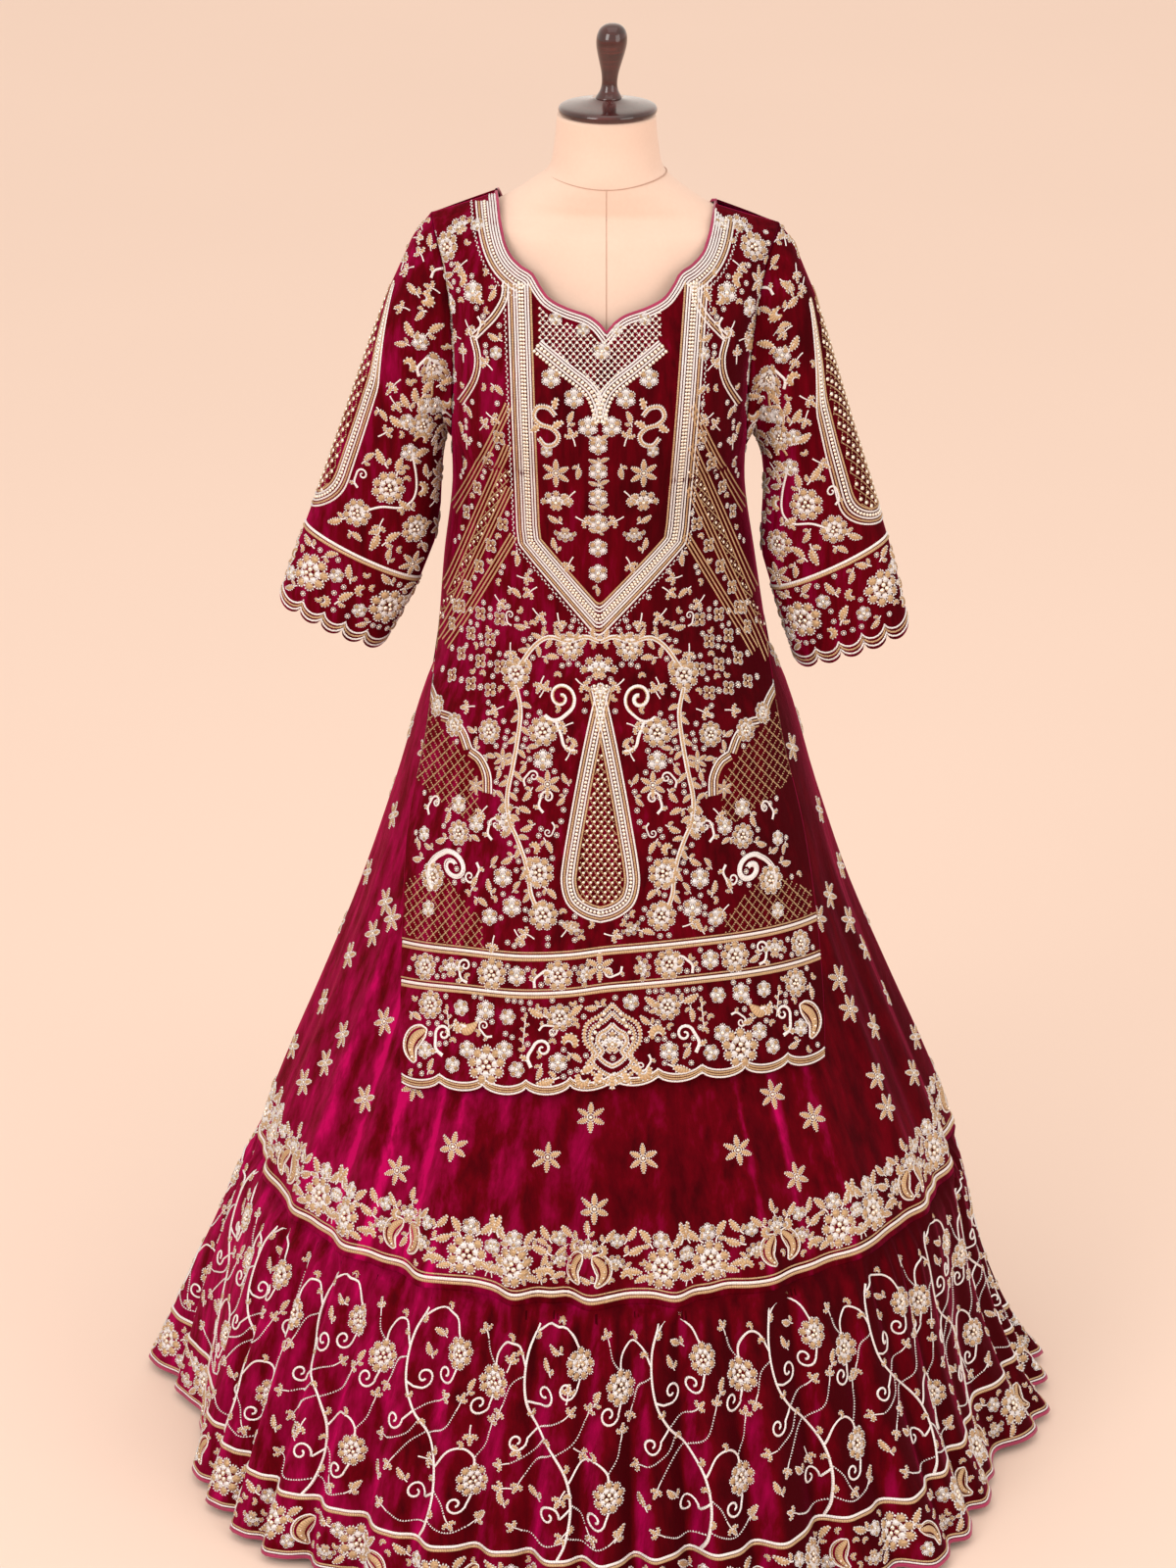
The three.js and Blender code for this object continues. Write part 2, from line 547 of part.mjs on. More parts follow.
function neckOutline(scoop) {
  const right = scoop.map((p) => new THREE.Vector2(p.x, p.z));
  const left = scoop.slice(1).map((p) => new THREE.Vector2(-p.x, p.z)).reverse();
  const end = scoop[scoop.length - 1].x;
  return [...left, ...right, new THREE.Vector2(end, 1560), new THREE.Vector2(-end, 1560)];
}

// Both edges of a ribbon along a path of [x, z] points.
function ribbonEdges(path, halfWidth, closed) {
  const count = path.length;
  const at = (i) => new THREE.Vector2(...path[closed ? (i + count) % count : clamp(i, 0, count - 1)]);
  const shifted = (i, side) => {
    const before = at(i).sub(at(i - 1)).normalize();
    const after = at(i + 1).sub(at(i)).normalize();
    const along = before.clone().add(after).normalize();
    const bend = Math.max(0.6, along.dot(before.length() > 0 ? before : after));
    return at(i).add(new THREE.Vector2(-along.y, along.x).multiplyScalar((side * halfWidth) / bend));
  };
  return [-1, 1].map((side) => path.map((_, i) => shifted(i, side)));
}

const FAR = 600;
const KURTI_ROWS = [...ARMHOLE_ROWS, ...LOWER_ROWS];
const FRONT_COLUMNS = spaced(-Math.PI / 2, Math.PI / 2, 16).map(Math.sin);
const BACK_COLUMNS = spaced(-Math.PI / 2, Math.PI / 2, 12).map(Math.sin);
const kurtiPanel = (side) => (across, row) => kurtiPoint(clamp(across, -1, 1), row, side);

function addKurtiBody() {
  const below = [[400, 600], [400, 300], [-400, 300], [-400, 600]].map(([x, z]) => new THREE.Vector2(x, z));
  const hem = HEM_SCALLOP;
  const frontHem = scallops(hemZ, hem.fromX, hem.toX, hem);
  const front = wall(kurtiPanel(-1), FRONT_COLUMNS, KURTI_ROWS);
  const frontCuts = [cutter(neckOutline(NECK_SCOOP), -FAR, 0), cutter([...frontHem, ...below], -FAR, 0)];
  add("kurti_front", cut(front, ...frontCuts), velvet);

  const backHem = scallops((x) => hemZ(x) - BACK_HEM_DROP, hem.fromX, hem.toX, hem);
  const back = wall(kurtiPanel(1), BACK_COLUMNS, KURTI_ROWS, { outward: -1 });
  const backCuts = [cutter(neckOutline(BACK_SCOOP), 0, FAR), cutter([...backHem, ...below], 0, FAR)];
  add("kurti_back", cut(back, ...backCuts), velvet);
}

// Each braid is a strip of one layer that lies on the whole front panel.
function addKurtiBraids() {
  const lying = { lift: BRAID.lift + BRAID.thick, thick: BRAID.thick };
  const layer = solid(wall(kurtiPanel(-1), FRONT_COLUMNS, KURTI_ROWS, lying));
  const addBraid = (name, path, halfWidth, closed = false) => {
    const [one, other] = ribbonEdges(path, halfWidth, closed);
    const strip = closed
      ? cutter(other, -FAR, 0).subtract(cutter(one, -FAR, 0))
      : cutter([...one, ...other.reverse()], -FAR, 0);
    add(name, geometryFrom(layer.intersect(strip)), zardozi);
  };

  const yoke = YOKE_BRAID;
  const left = [[-yoke.x, yoke.topZ], [-yoke.x, yoke.cornerZ]];
  const right = [[yoke.x, yoke.cornerZ], [yoke.x, yoke.topZ]];
  addBraid("yoke_braid", [...left, [-4, yoke.tipZ], ...right], yoke.halfWidth);

  const scoop = NECK_SCOOP.slice(0, -1);
  const outline = [...scoop.slice(1).map((p) => [-p.x, p.z]).reverse(), ...scoop.map((p) => [p.x, p.z])];
  const [inset] = ribbonEdges(outline, NECK_BRAID.inset, false);
  addBraid("neck_braid", inset.map((p) => [p.x, p.y]), NECK_BRAID.halfWidth);

  const drop = DROP_BRAID;
  const side = spaced(0, 1, 4).map((t) => [
    mix(drop.topHalf, drop.bottomHalf, Math.pow(t, 0.8)),
    mix(drop.topZ, drop.bottomZ + drop.bottomHalf, t),
  ]);
  const round = spaced(0, Math.PI, 6).slice(1, -1).map((turn) => [
    drop.bottomHalf * Math.cos(turn),
    drop.bottomZ + drop.bottomHalf * (1 - Math.sin(turn)),
  ]);
  const loop = [...side, ...round, ...side.map(([x, z]) => [-x, z]).reverse()];
  addBraid("drop_braid", loop.map(([x, z]) => [x - 4, z]), drop.halfWidth, true);

  HEM_BRAIDS.forEach(({ aboveHem, halfWidth }, k) => {
    const line = spaced(-280, 280, 14).map((x) => [x, hemZ(x) + aboveHem]);
    addBraid(`kurti_line_${k + 1}`, line, halfWidth);
  });
}

function addSleeve(name, rows, side) {
  const tube = (round, down) => sleevePoint(rows, side, round, clamp(down, 0, rows.length));
  const rounds = spaced(0, SLEEVE_SIDES, SLEEVE_SIDES).slice(0, -1);
  const around = { closed: true, outward: side };
  const cuff = rows[rows.length - 1];
  const slope = (cuff.outZ - cuff.inZ) / (cuff.outX - cuff.inX);
  const line = (x) => cuff.inZ + 2 + slope * (side * x - cuff.inX);
  const edge = scallops(line, side * (cuff.inX - 5), side * (cuff.outX + 5), CUFF_SCALLOP);
  const under = [[460, cuff.outZ + 40], [460, 850], [cuff.inX - 50, 850], [cuff.inX - 50, cuff.inZ]];
  const below = under.map(([x, z]) => new THREE.Vector2(side * x, z));
  const sleeve = wall(tube, rounds, spaced(0, rows.length, rows.length), around);
  add(name, cut(sleeve, cutter([...edge, ...below], -200, 200)), velvet);
  const lying = { ...around, lift: BRAID.lift + BRAID.thick, thick: BRAID.thick };
  add(`${name}_line`, wall(tube, rounds, [SLEEVE_BRAID.from, SLEEVE_BRAID.to], lying), zardozi);
}

addDressForm();
addSkirt();
addKurtiBody();
addKurtiBraids();
addSleeve("sleeve_left", SLEEVE_LEFT, -1);
addSleeve("sleeve_right", SLEEVE_RIGHT, 1);

export default outfit;
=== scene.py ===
"""A bridal velvet set on a dress form: an embroidered kurti over a gored skirt with a gathered flounce."""

import math

import bpy
import numpy as np
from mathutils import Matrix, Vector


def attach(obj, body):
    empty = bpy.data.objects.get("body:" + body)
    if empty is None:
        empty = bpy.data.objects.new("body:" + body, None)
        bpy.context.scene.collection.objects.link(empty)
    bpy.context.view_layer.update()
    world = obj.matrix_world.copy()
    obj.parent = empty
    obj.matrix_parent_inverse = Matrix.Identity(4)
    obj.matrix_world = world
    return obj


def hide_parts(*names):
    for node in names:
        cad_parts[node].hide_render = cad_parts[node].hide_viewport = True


bl_info = {
    "name": "Bridal Lehenga",
    "version": (1, 0, 0),
    "blender": (4, 5, 0),
    "location": "View3D > Sidebar > Lehenga",
    "description": "Makes the velvet, embroidery and dress form of a bridal lehenga around its packed frame",
    "category": "Add Mesh",
}

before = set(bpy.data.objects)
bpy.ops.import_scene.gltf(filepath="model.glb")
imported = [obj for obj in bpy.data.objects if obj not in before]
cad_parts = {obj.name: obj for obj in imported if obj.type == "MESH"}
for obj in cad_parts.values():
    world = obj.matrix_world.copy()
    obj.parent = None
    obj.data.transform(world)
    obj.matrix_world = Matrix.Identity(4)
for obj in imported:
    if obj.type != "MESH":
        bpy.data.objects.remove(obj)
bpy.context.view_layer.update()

MM = 0.001
GORES = 12
VINES = 20
SKIRT_COLUMNS, FLOUNCE_COLUMNS = 360, 600


# ---- sizes, in millimetres
def table(names, *rows):
    """A short table: one array for each named column."""
    return dict(zip(names.split(), np.array(rows, float).T))


# How far the skirt's smooth section reaches to each side, to the front and to the back.
SKIRT = table("z left right front back", (340, 414, 417, 409, 409), (423, 387, 387, 374, 378),
    (560, 331, 330, 312, 322), (680, 285, 283, 263, 278), (800, 246, 246, 224, 240), (925, 208, 210, 184, 202),
    (1000, 176, 176, 150, 160), (1060, 142, 142, 117, 124), (1115, 120.9, 120.9, 92, 89))
SKIRT_SEAM_Z = 340
SKIRT_TOP_Z = 1084
BAND_TOP_Z = 1115
FLOUNCE = table("z left right front back", (8, 540, 532, 540, 534), (60, 522, 498, 525, 521), (140, 495, 466, 498, 494),
    (230, 462, 443, 462, 460), (300, 436, 430, 430, 430), (339, 416, 419, 410, 410))
HEM_Z = 8
FLOUNCE_TOP_Z = 339.1
# Large single folds at the hem: direction from the front, half-width in degrees and push outwards.
HEM_FOLDS = table("at spread push", (-94, 6, 18), (-76, 11, -42), (-60, 7, 12), (47, 9, 18), (68, 7, -36), (79, 6, 24))

# Kurti: half-width, sideways lean, and bodice depth to the front and back.
KURTI = table("z half lean front back", (505, 239, 9, 150, 130), (600, 241, 8, 150, 130), (700, 236, 5, 150, 130),
    (800, 225, 0, 150, 130), (900, 203, -2, 152, 128), (1000, 187, -4, 152, 122), (1090, 176, -7, 147, 122),
    (1170, 165, -8, 150, 108), (1225, 165, -8, 154, 104), (1275, 163, -7, 156, 108), (1330, 163, -5, 146, 106),
    (1390, 168, -3, 122, 100), (1440, 178, -1, 104, 94), (1480, 192, 1, 94, 88), (1510, 196, 2, 90, 86))
KURTI_BOTTOM_Z = 505
NECK_X, LEFT_RIDGE_Z, RIGHT_RIDGE_Z = 120, 1507, 1495
SHOULDER_SLOPE, SHOULDER_TIP_X, SHOULDER_ROUND = 0.34, 192, 85
ARMHOLE_DROP, ARMHOLE_HALF_DEPTH = 1.192, 50
OFF_SKIRT, EASE = 10, 14
HEM_LINE = table("x z", (-240, 533), (-163, 548), (-94, 554), (-42, 560), (8, 567), (89, 569), (156, 565), (258, 553))
HEM_SCALLOPS, SCALLOP_DEPTH, HEM_FROM_X, HEM_TO_X = 10, 9, -236, 254
BACK_HEM_DROP = 12
NECK_SCOOP = table("x z", (0, 1381), (8, 1390), (20, 1398), (45, 1406), (63, 1415), (73, 1427), (80, 1438), (94, 1446),
    (107, 1459), (115, 1480), (120.5, 1512))
BACK_SCOOP = table("x z", (0, 1436), (45, 1440), (80, 1453), (112, 1476), (120.5, 1512))

# Sleeves: outer and inner edge of each section seen from the front, half-depth and lean forward.
SLEEVE_LEFT = table("out_x out_z in_x in_z depth forward", (213, 1456, 178, 1233, 50, 0), (238, 1402, 181, 1216, 47, 1),
    (262, 1340, 184, 1188, 44, 3), (289, 1264, 186, 1148, 41, 6), (317, 1186, 193, 1106, 38, 9),
    (343, 1118, 213, 1056, 35, 11), (373, 1036, 256, 978, 32, 13))
SLEEVE_RIGHT = table("out_x out_z in_x in_z depth forward", (207, 1449, 165, 1233, 50, 0),
    (231, 1392, 174, 1214, 47, 1), (252, 1326, 178, 1180, 44, 3), (275, 1250, 176, 1134, 41, 6),
    (301, 1170, 177, 1090, 38, 9), (321, 1104, 190, 1046, 35, 11), (348, 1000, 219, 956, 32, 13))
CUFF_SCALLOPS = 5

TORSO = table("z side front back", (838, 146, 86, 100), (870, 160, 96, 114), (960, 160, 98, 116), (1030, 138, 86, 96),
    (1100, 116, 82, 76), (1190, 130, 100, 78), (1275, 150, 132, 86), (1340, 148, 124, 90), (1400, 154, 102, 86),
    (1440, 166, 88, 80), (1470, 162, 74, 66), (1487, 131.5, 57, 53), (1502, 104, 58, 54), (1515, 84, 60, 56),
    (1532, 64, 60, 56), (1560, 57, 54, 52), (1592, 54, 52, 51))
SHOULDER_TILT = 0.03
CAP_X = 1.5


# ---- small mathematics
def mix(a, b, share):
    return a + (b - a) * share


def columns_of(*columns):
    """One array whose last axis holds the given values side by side."""
    return np.stack(columns, -1)


def joined(*rows):
    return np.concatenate(rows)


def smooth_step(start, end, value):
    t = np.clip((value - start) / (end - start), 0, 1)
    return t * t * (3 - 2 * t)


def eased_max(a, b, ease):
    return (a + b + np.hypot(a - b, ease)) / 2


def through(rows, column, value, key="z"):
    """A smooth curve through one column of a table."""
    xs, ys = rows[key], rows[column]
    at = np.clip(value, xs[0], xs[-1])
    i = np.clip(np.searchsorted(xs, at, side="left") - 1, 0, len(xs) - 2)
    before, after = np.maximum(np.arange(len(xs)) - 1, 0), np.minimum(np.arange(len(xs)) + 1, len(xs) - 1)
    slopes = (ys[after] - ys[before]) / (xs[after] - xs[before])
    span = xs[i + 1] - xs[i]
    t = (at - xs[i]) / span
    return (ys[i] * (2 * t**3 - 3 * t**2 + 1) + slopes[i] * span * (t**3 - 2 * t**2 + t)
        + ys[i + 1] * (3 * t**2 - 2 * t**3) + slopes[i + 1] * span * (t**3 - t**2))


def ripple(x, seed, scale):
    """Smooth uneven values between about -1 and 1 along x, the same each time."""
    draws = np.random.default_rng(seed)
    total = np.zeros_like(np.asarray(x, float))
    for octave in range(4):
        rate = 2**octave / scale
        total = total + np.sin(2 * np.pi * (rate * x * draws.uniform(0.8, 1.2) + draws.uniform())) / 1.5**octave
    return total / 2


def unit(vectors):
    return vectors / np.maximum(np.linalg.norm(vectors, axis=-1, keepdims=True), 1e-9)


def circle(count):
    """Angles all the way round, without the last one that would meet the first."""
    return np.linspace(0, 2 * np.pi, count, endpoint=False)


def run_of(path):
    """The distance along a path at each of its points."""
    return joined([0], np.cumsum(np.linalg.norm(np.diff(path, axis=0), axis=1)))


def left_of(path):
    """Unit steps to the left of a flat path."""
    tangent = unit(np.gradient(path, axis=0))
    return columns_of(-tangent[:, 1], tangent[:, 0])


def polar(reach, degrees):
    return reach * math.cos(math.radians(degrees)), reach * math.sin(math.radians(degrees))


def grid_corners(rows, columns, closed):
    """For each face of a grid of points, the numbers of its two corners in the upper row."""
    j, i = np.meshgrid(np.arange(rows - 1), np.arange(columns if closed else columns - 1), indexing="ij")
    return j * columns + i, j * columns + (i + 1) % columns


# ---- surfaces
def oval_radius(rows, angle, z):
    """Radius of a table's section. The angle is 0 at the front and grows towards +X."""
    depth = np.where(np.cos(angle) >= 0, through(rows, "front", z), through(rows, "back", z))
    if "side" in rows:
        side = through(rows, "side", z)
    else:
        side = np.where(np.sin(angle) >= 0, through(rows, "right", z), through(rows, "left", z))
    return 1 / np.hypot(np.sin(angle) / side, np.cos(angle) / depth)


def on_circle(radius, angle, z):
    radius, angle, z = np.broadcast_arrays(radius, angle, np.asarray(z, float))
    return columns_of(radius * np.sin(angle), -radius * np.cos(angle), z)


def skirt_radius(angle, z):
    """The skirt with its soft folds, which the kurti's panels press flat."""
    base = oval_radius(SKIRT, angle, z)
    phase = 23 * angle + 1.3 * np.sin(2 * angle + 0.7) + 0.8 * np.sin(5 * angle)
    growth = smooth_step(900, 400, z)
    under = smooth_step(560, 500, z) + smooth_step(220, 260, np.abs(base * np.sin(angle)))
    depth = growth * (0.7 + 0.3 * np.sin(3 * angle + 2.1)) * np.clip(under, 0.2, 1)
    sharp = np.cos(phase) + 0.3 * np.cos(2 * phase + 0.6) + 0.16 * np.sin(61 * angle + 3 * np.sin(4 * angle))
    return base + 8 * depth * sharp


def skirt_point(angle, z):
    return on_circle(skirt_radius(angle, z), angle, z)


def flounce_radius(angle, z):
    """The gathered flounce: small gathers at the seam open into deeper folds at the hem."""
    down = np.clip((FLOUNCE_TOP_Z - z) / (FLOUNCE_TOP_Z - HEM_Z), 0, 1)
    single, calm = 0.0, 0.0
    for at, spread, push in zip(*HEM_FOLDS.values()):
        away = ((np.degrees(angle) - at + 540) % 360 - 180) / spread
        weight = np.exp(-away * away)
        single = single + push * down**1.5 * weight
        if push < 0:
            calm = np.maximum(calm, 0.75 * weight)
    phase = 46 * angle + 1.7 * np.sin(3 * angle + 1.1) + 0.9 * np.sin(7 * angle)
    depth = mix(3.5, 13, down**0.8) * (0.8 + 0.2 * np.sin(4 * angle + 0.5))
    wave = np.sin(phase) + 0.25 * np.sin(2 * phase + 0.8)
    tuck = 2.2 * np.exp(-((down / 0.22) ** 2)) * np.sin(3 * phase + 2 * np.sin(5 * angle))
    lobe = 11 * down * down * np.cos(15 * angle + 0.6 + np.sin(2 * angle))
    free = oval_radius(FLOUNCE, angle, z) + (depth * wave + tuck + lobe) * (1 - calm) + single
    return mix(skirt_radius(angle, SKIRT_SEAM_Z), free, smooth_step(0, 0.05, down))


def flounce_point(angle, z):
    return on_circle(flounce_radius(angle, z), angle, z)


def ridge_z(x):
    ridge = mix(LEFT_RIDGE_Z, RIGHT_RIDGE_Z, np.clip((x + NECK_X) / (2 * NECK_X), 0, 1))
    return ridge - SHOULDER_SLOPE * np.maximum(0, np.abs(x) - NECK_X)


def armhole_depth(side, z):
    top = ridge_z(side * SHOULDER_TIP_X)
    bottom = mix(top - SHOULDER_ROUND, KURTI_BOTTOM_Z, ARMHOLE_DROP - 1)
    share = (2 * z - top - bottom) / (top - bottom)
    return ARMHOLE_HALF_DEPTH * np.sqrt(np.maximum(0, 1 - share * share))


def kurti_depth(x, z, column):
    """How far a panel's outer face stands from the middle plane."""
    across = np.clip((x - through(KURTI, "lean", z)) / through(KURTI, "half", z), -1, 1)
    fall = np.clip((ridge_z(across * SHOULDER_TIP_X) - z) / SHOULDER_ROUND, 0, 1)
    rounding = np.sqrt(1 - (1 - fall) ** 2)
    side = np.where(across >= 0, 1.0, -1.0)
    body = mix(armhole_depth(side, z), through(KURTI, column, z) * rounding, np.sqrt(1 - across * across))
    reach = np.where(x < 0, through(SKIRT, "left", z), through(SKIRT, "right", z)) + OFF_SKIRT
    over = (through(SKIRT, column, z) + OFF_SKIRT) * np.sqrt(np.maximum(0, 1 - (x / reach) ** 2))
    ease = EASE * smooth_step(BAND_TOP_Z, 1000, z)
    return np.where(z > BAND_TOP_Z, body, eased_max(body, over, ease)) + 0.4


def side_x(z, side):
    """Where a kurti panel's side edge stands."""
    return through(KURTI, "lean", z) + side * through(KURTI, "half", z)


def front_point(x, z):
    return columns_of(x, -kurti_depth(x, z, "front"), z)


def back_point(x, z):
    return columns_of(x, kurti_depth(x, z, "back"), z)


def sleeve_point(rows, side, turn, down):
    """A sleeve's outer face. Turn runs from the outer edge over the front; down from 0 to 1 at the cuff."""
    count = len(rows["out_x"])
    top = ridge_z(side * SHOULDER_TIP_X)
    bottom = mix(top - SHOULDER_ROUND, KURTI_BOTTOM_Z, ARMHOLE_DROP - 1)
    turn, down = np.broadcast_arrays(np.asarray(turn, float), np.asarray(down, float))
    at = np.clip(down * count, 0, count)
    i = np.minimum(at.astype(int), count - 1)
    share = (at - i)[..., None]

    def section(k):
        row = {name: values[np.maximum(k - 1, 0)] for name, values in rows.items()}
        along = np.cos(turn)
        x = (row["out_x"] + row["in_x"] + (row["out_x"] - row["in_x"]) * along) / 2
        z = (row["out_z"] + row["in_z"] + (row["out_z"] - row["in_z"]) * along) / 2
        free = columns_of(side * x, -row["forward"] - row["depth"] * np.sin(turn), z)
        z = (top + bottom + (top - bottom) * along) / 2
        x = side * (through(KURTI, "half", z) + 0.8) + through(KURTI, "lean", z)
        joined = columns_of(x, -ARMHOLE_HALF_DEPTH * np.sin(turn), z)
        return np.where((k == 0)[..., None], joined, free)

    return mix(section(i), section(i + 1), share)


# ---- meshes
def mesh_object(name, vertices, faces, material, smooth=True, nap=None):
    """An object of its own from vertices in millimetres and faces that are triangles or quads."""
    faces = np.asarray(faces, np.int32)
    mesh = bpy.data.meshes.new(name)
    mesh.vertices.add(len(vertices))
    mesh.vertices.foreach_set("co", (np.asarray(vertices, float) * MM).ravel())
    mesh.loops.add(faces.size)
    mesh.loops.foreach_set("vertex_index", faces.ravel())
    mesh.polygons.add(len(faces))
    mesh.polygons.foreach_set("loop_start", np.arange(0, faces.size, faces.shape[1], dtype=np.int32))
    mesh.update(calc_edges=True)
    mesh.polygons.foreach_set("use_smooth", np.full(len(faces), smooth))
    # The per-point value is painted sheen and shade on the velvet, and the distance along the thread on the embroidery.
    if nap is not None:
        layer = mesh.attributes.new("nap", "FLOAT", "POINT")
        layer.data.foreach_set("value", np.asarray(nap, np.float32).ravel())
    mesh.materials.append(material)
    piece = bpy.data.objects.new(name, mesh)
    bpy.context.scene.collection.objects.link(piece)
    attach(piece, "root")
    return piece


def grid_normals(points, closed):
    """Unit normals of a grid of points, across the columns and down the rows."""
    if closed:
        across = np.roll(points, -1, 1) - np.roll(points, 1, 1)
    else:
        across = np.gradient(points, axis=1)
    return unit(np.cross(across, np.gradient(points, axis=0)))


def cloth(name, points, thick, material, closed=False, flip=False, nap=None):
    """A thin closed wall whose outer face runs through a grid of points."""
    rows, columns = points.shape[:2]
    normals = grid_normals(points, closed) * (-1 if flip else 1)
    vertices = joined(points.reshape(-1, 3), (points - normals * thick).reshape(-1, 3))
    layer = rows * columns
    a, b = grid_corners(rows, columns, closed)
    outer = columns_of(a, b, b + columns, a + columns).reshape(-1, 4)
    inner = outer[:, ::-1] + layer

    def strip(edge):
        return columns_of(edge[:-1], edge[:-1] + layer, edge[1:] + layer, edge[1:])

    top, bottom = np.arange(columns), np.arange(columns) + (rows - 1) * columns
    if closed:
        top, bottom = np.append(top, top[0]), np.append(bottom, bottom[0])
    rims = [strip(top), strip(bottom[::-1])]
    if not closed:
        rims += [strip(np.arange(rows)[::-1] * columns), strip(np.arange(rows) * columns + columns - 1)]
    faces = joined(outer, inner, *rims)
    if flip:
        faces = faces[:, ::-1]
    # The outer face carries the painted sheen; the inner face gets none and so shows darker, as painted shade.
    both = None if nap is None else joined(nap.ravel(), nap.ravel() * 0)
    return mesh_object(name, vertices, faces, material, nap=both)


def tube(name, path, radius, material, sides=8, closed=False):
    """A round cord along a path."""
    path = np.asarray(path, float)
    if closed:
        along = np.roll(path, -1, 0) - np.roll(path, 1, 0)
    else:
        along = np.gradient(path, axis=0)
    along = unit(along)
    one = unit(np.cross(along, [0, 0, 1.0]))
    other = np.cross(along, one)
    turns = circle(sides)
    rings = path[:, None] + radius * (np.cos(turns)[None, :, None] * one[:, None]
        + np.sin(turns)[None, :, None] * other[:, None])
    count = len(path)
    j, i = np.meshgrid(np.arange(count if closed else count - 1), np.arange(sides), indexing="ij")
    k, n = (j + 1) % count, (i + 1) % sides
    faces = columns_of(j * sides + i, k * sides + i, k * sides + n, j * sides + n).reshape(-1, 4)
    return mesh_object(name, rings.reshape(-1, 3), faces, material)


def turned(profile, x, lean, sides=44):
    """Corners and faces of a turned solid, from (radius, height) pairs that start and end on the axis."""
    profile = np.array(profile, float)
    turns = circle(sides)
    rings = [(0, 0, profile[0, 1])]
    for radius, z in profile[1:-1]:
        rings += [(radius * math.cos(t), radius * math.sin(t), z) for t in turns]
    rings.append((0, 0, profile[-1, 1]))
    points = np.array(rings)
    points[:, 0] += x + lean * (points[:, 2] - profile[0, 1])
    count = len(profile) - 2
    faces = [(0, 1 + (i + 1) % sides, 1 + i, 0) for i in range(sides)]
    for j in range(count - 1):
        for i in range(sides):
            a, b = 1 + j * sides + i, 1 + j * sides + (i + 1) % sides
            faces.append((a, b, b + sides, a + sides))
    last = 1 + count * sides
    faces += [(last, last - sides + i, last - sides + (i + 1) % sides, last) for i in range(sides)]
    return points, faces


def rounded(profile, passes=2):
    """The same profile with its corners cut twice, between its two ends on the axis."""
    profile = np.array(profile, float)
    for _ in range(passes):
        inner = profile[1:-1]
        near, far = mix(inner[:-1], inner[1:], 0.25), mix(inner[:-1], inner[1:], 0.75)
        cut = np.stack([near, far], 1).reshape(-1, 2)
        profile = joined(profile[:1], inner[:1], cut, inner[-1:], profile[-1:])
    return profile


# ---- materials
class Value:
    """One output socket of a material. Arithmetic on it adds the Math nodes."""

    def __init__(self, paint, socket):
        self.paint, self.socket = paint, socket

    def math(self, operation, first, second=0.0):
        return self.paint.node("ShaderNodeMath", {"operation": operation}, {0: first, 1: second})

    def __add__(self, other):
        return self.math("ADD", self, other)

    def __sub__(self, other):
        return self.math("SUBTRACT", self, other)

    def __rsub__(self, other):
        return self.math("SUBTRACT", other, self)

    def __mul__(self, other):
        return self.math("MULTIPLY", self, other)

    __radd__, __rmul__ = __add__, __mul__

    def sine(self):
        return self.math("SINE", self)

    def clamped(self):
        return self.paint.node("ShaderNodeClamp", {}, {0: self})


class Paint:
    """A material that ends in one Principled shader, and the nodes behind it."""

    def __init__(self, name, **constants):
        self.material = bpy.data.materials.new(name)
        self.material.use_nodes = True
        self.tree = self.material.node_tree
        self.shader = self.tree.nodes["Principled BSDF"]
        for label, value in constants.items():
            self.shader.inputs[label.replace("_", " ")].default_value = value
        self.place = self.node("ShaderNodeTexCoord", {}, {}, "Object")

    def node(self, kind, settings, values, output=0):
        made = self.tree.nodes.new(kind)
        for label, value in settings.items():
            if label == "stops":
                while len(made.color_ramp.elements) < len(value):
                    made.color_ramp.elements.new(0.5)
                for stop, (place, colour) in zip(made.color_ramp.elements, value):
                    stop.position, stop.color = place, (*colour, 1)
            else:
                setattr(made, label, value)
        for label, value in values.items():
            if isinstance(value, Value):
                self.tree.links.new(value.socket, made.inputs[label])
            else:
                made.inputs[label].default_value = value
        return Value(self, made.outputs[output])

    def scaled(self, scale):
        return self.node("ShaderNodeMapping", {}, {"Vector": self.place, "Scale": scale})

    def noise(self, place, scale, detail=3.0, roughness=0.5):
        values = {"Vector": place, "Scale": scale, "Detail": detail, "Roughness": roughness}
        return self.node("ShaderNodeTexNoise", {}, values)

    def cells(self, scale):
        return self.node("ShaderNodeTexVoronoi", {}, {"Vector": self.place, "Scale": scale}, "Distance")

    def attribute(self, label):
        return self.node("ShaderNodeAttribute", {"attribute_name": label}, {}, "Fac")

    def blend(self, share, first, second):
        made = self.tree.nodes.new("ShaderNodeMix")
        made.data_type = "RGBA"
        for label, kind, value in (("Factor", "VALUE", share), ("A", "RGBA", first), ("B", "RGBA", second)):
            socket = next(s for s in made.inputs if s.name == label and s.type == kind)
            if isinstance(value, Value):
                self.tree.links.new(value.socket, socket)
            else:
                socket.default_value = value if kind == "VALUE" else (*value, 1)
        return Value(self, next(s for s in made.outputs if s.type == "RGBA"))

    def ramp(self, share, *stops):
        return self.node("ShaderNodeValToRGB", {"stops": stops}, {"Fac": share})

    def bump(self, height, distance, strength=1.0):
        values = {"Height": height, "Distance": distance, "Strength": strength}
        return self.node("ShaderNodeBump", {}, values)

    def finish(self, **links):
        for label, value in links.items():
            self.tree.links.new(value.socket, self.shader.inputs[label.replace("_", " ")])
        return self.material


def colour(*rgb):
    """Screen colour from 0 to 255 as the light it stands for."""
    return tuple(c / 12.92 if c <= 0.04045 else ((c + 0.055) / 1.055) ** 2.4 for c in (v / 255 for v in rgb))


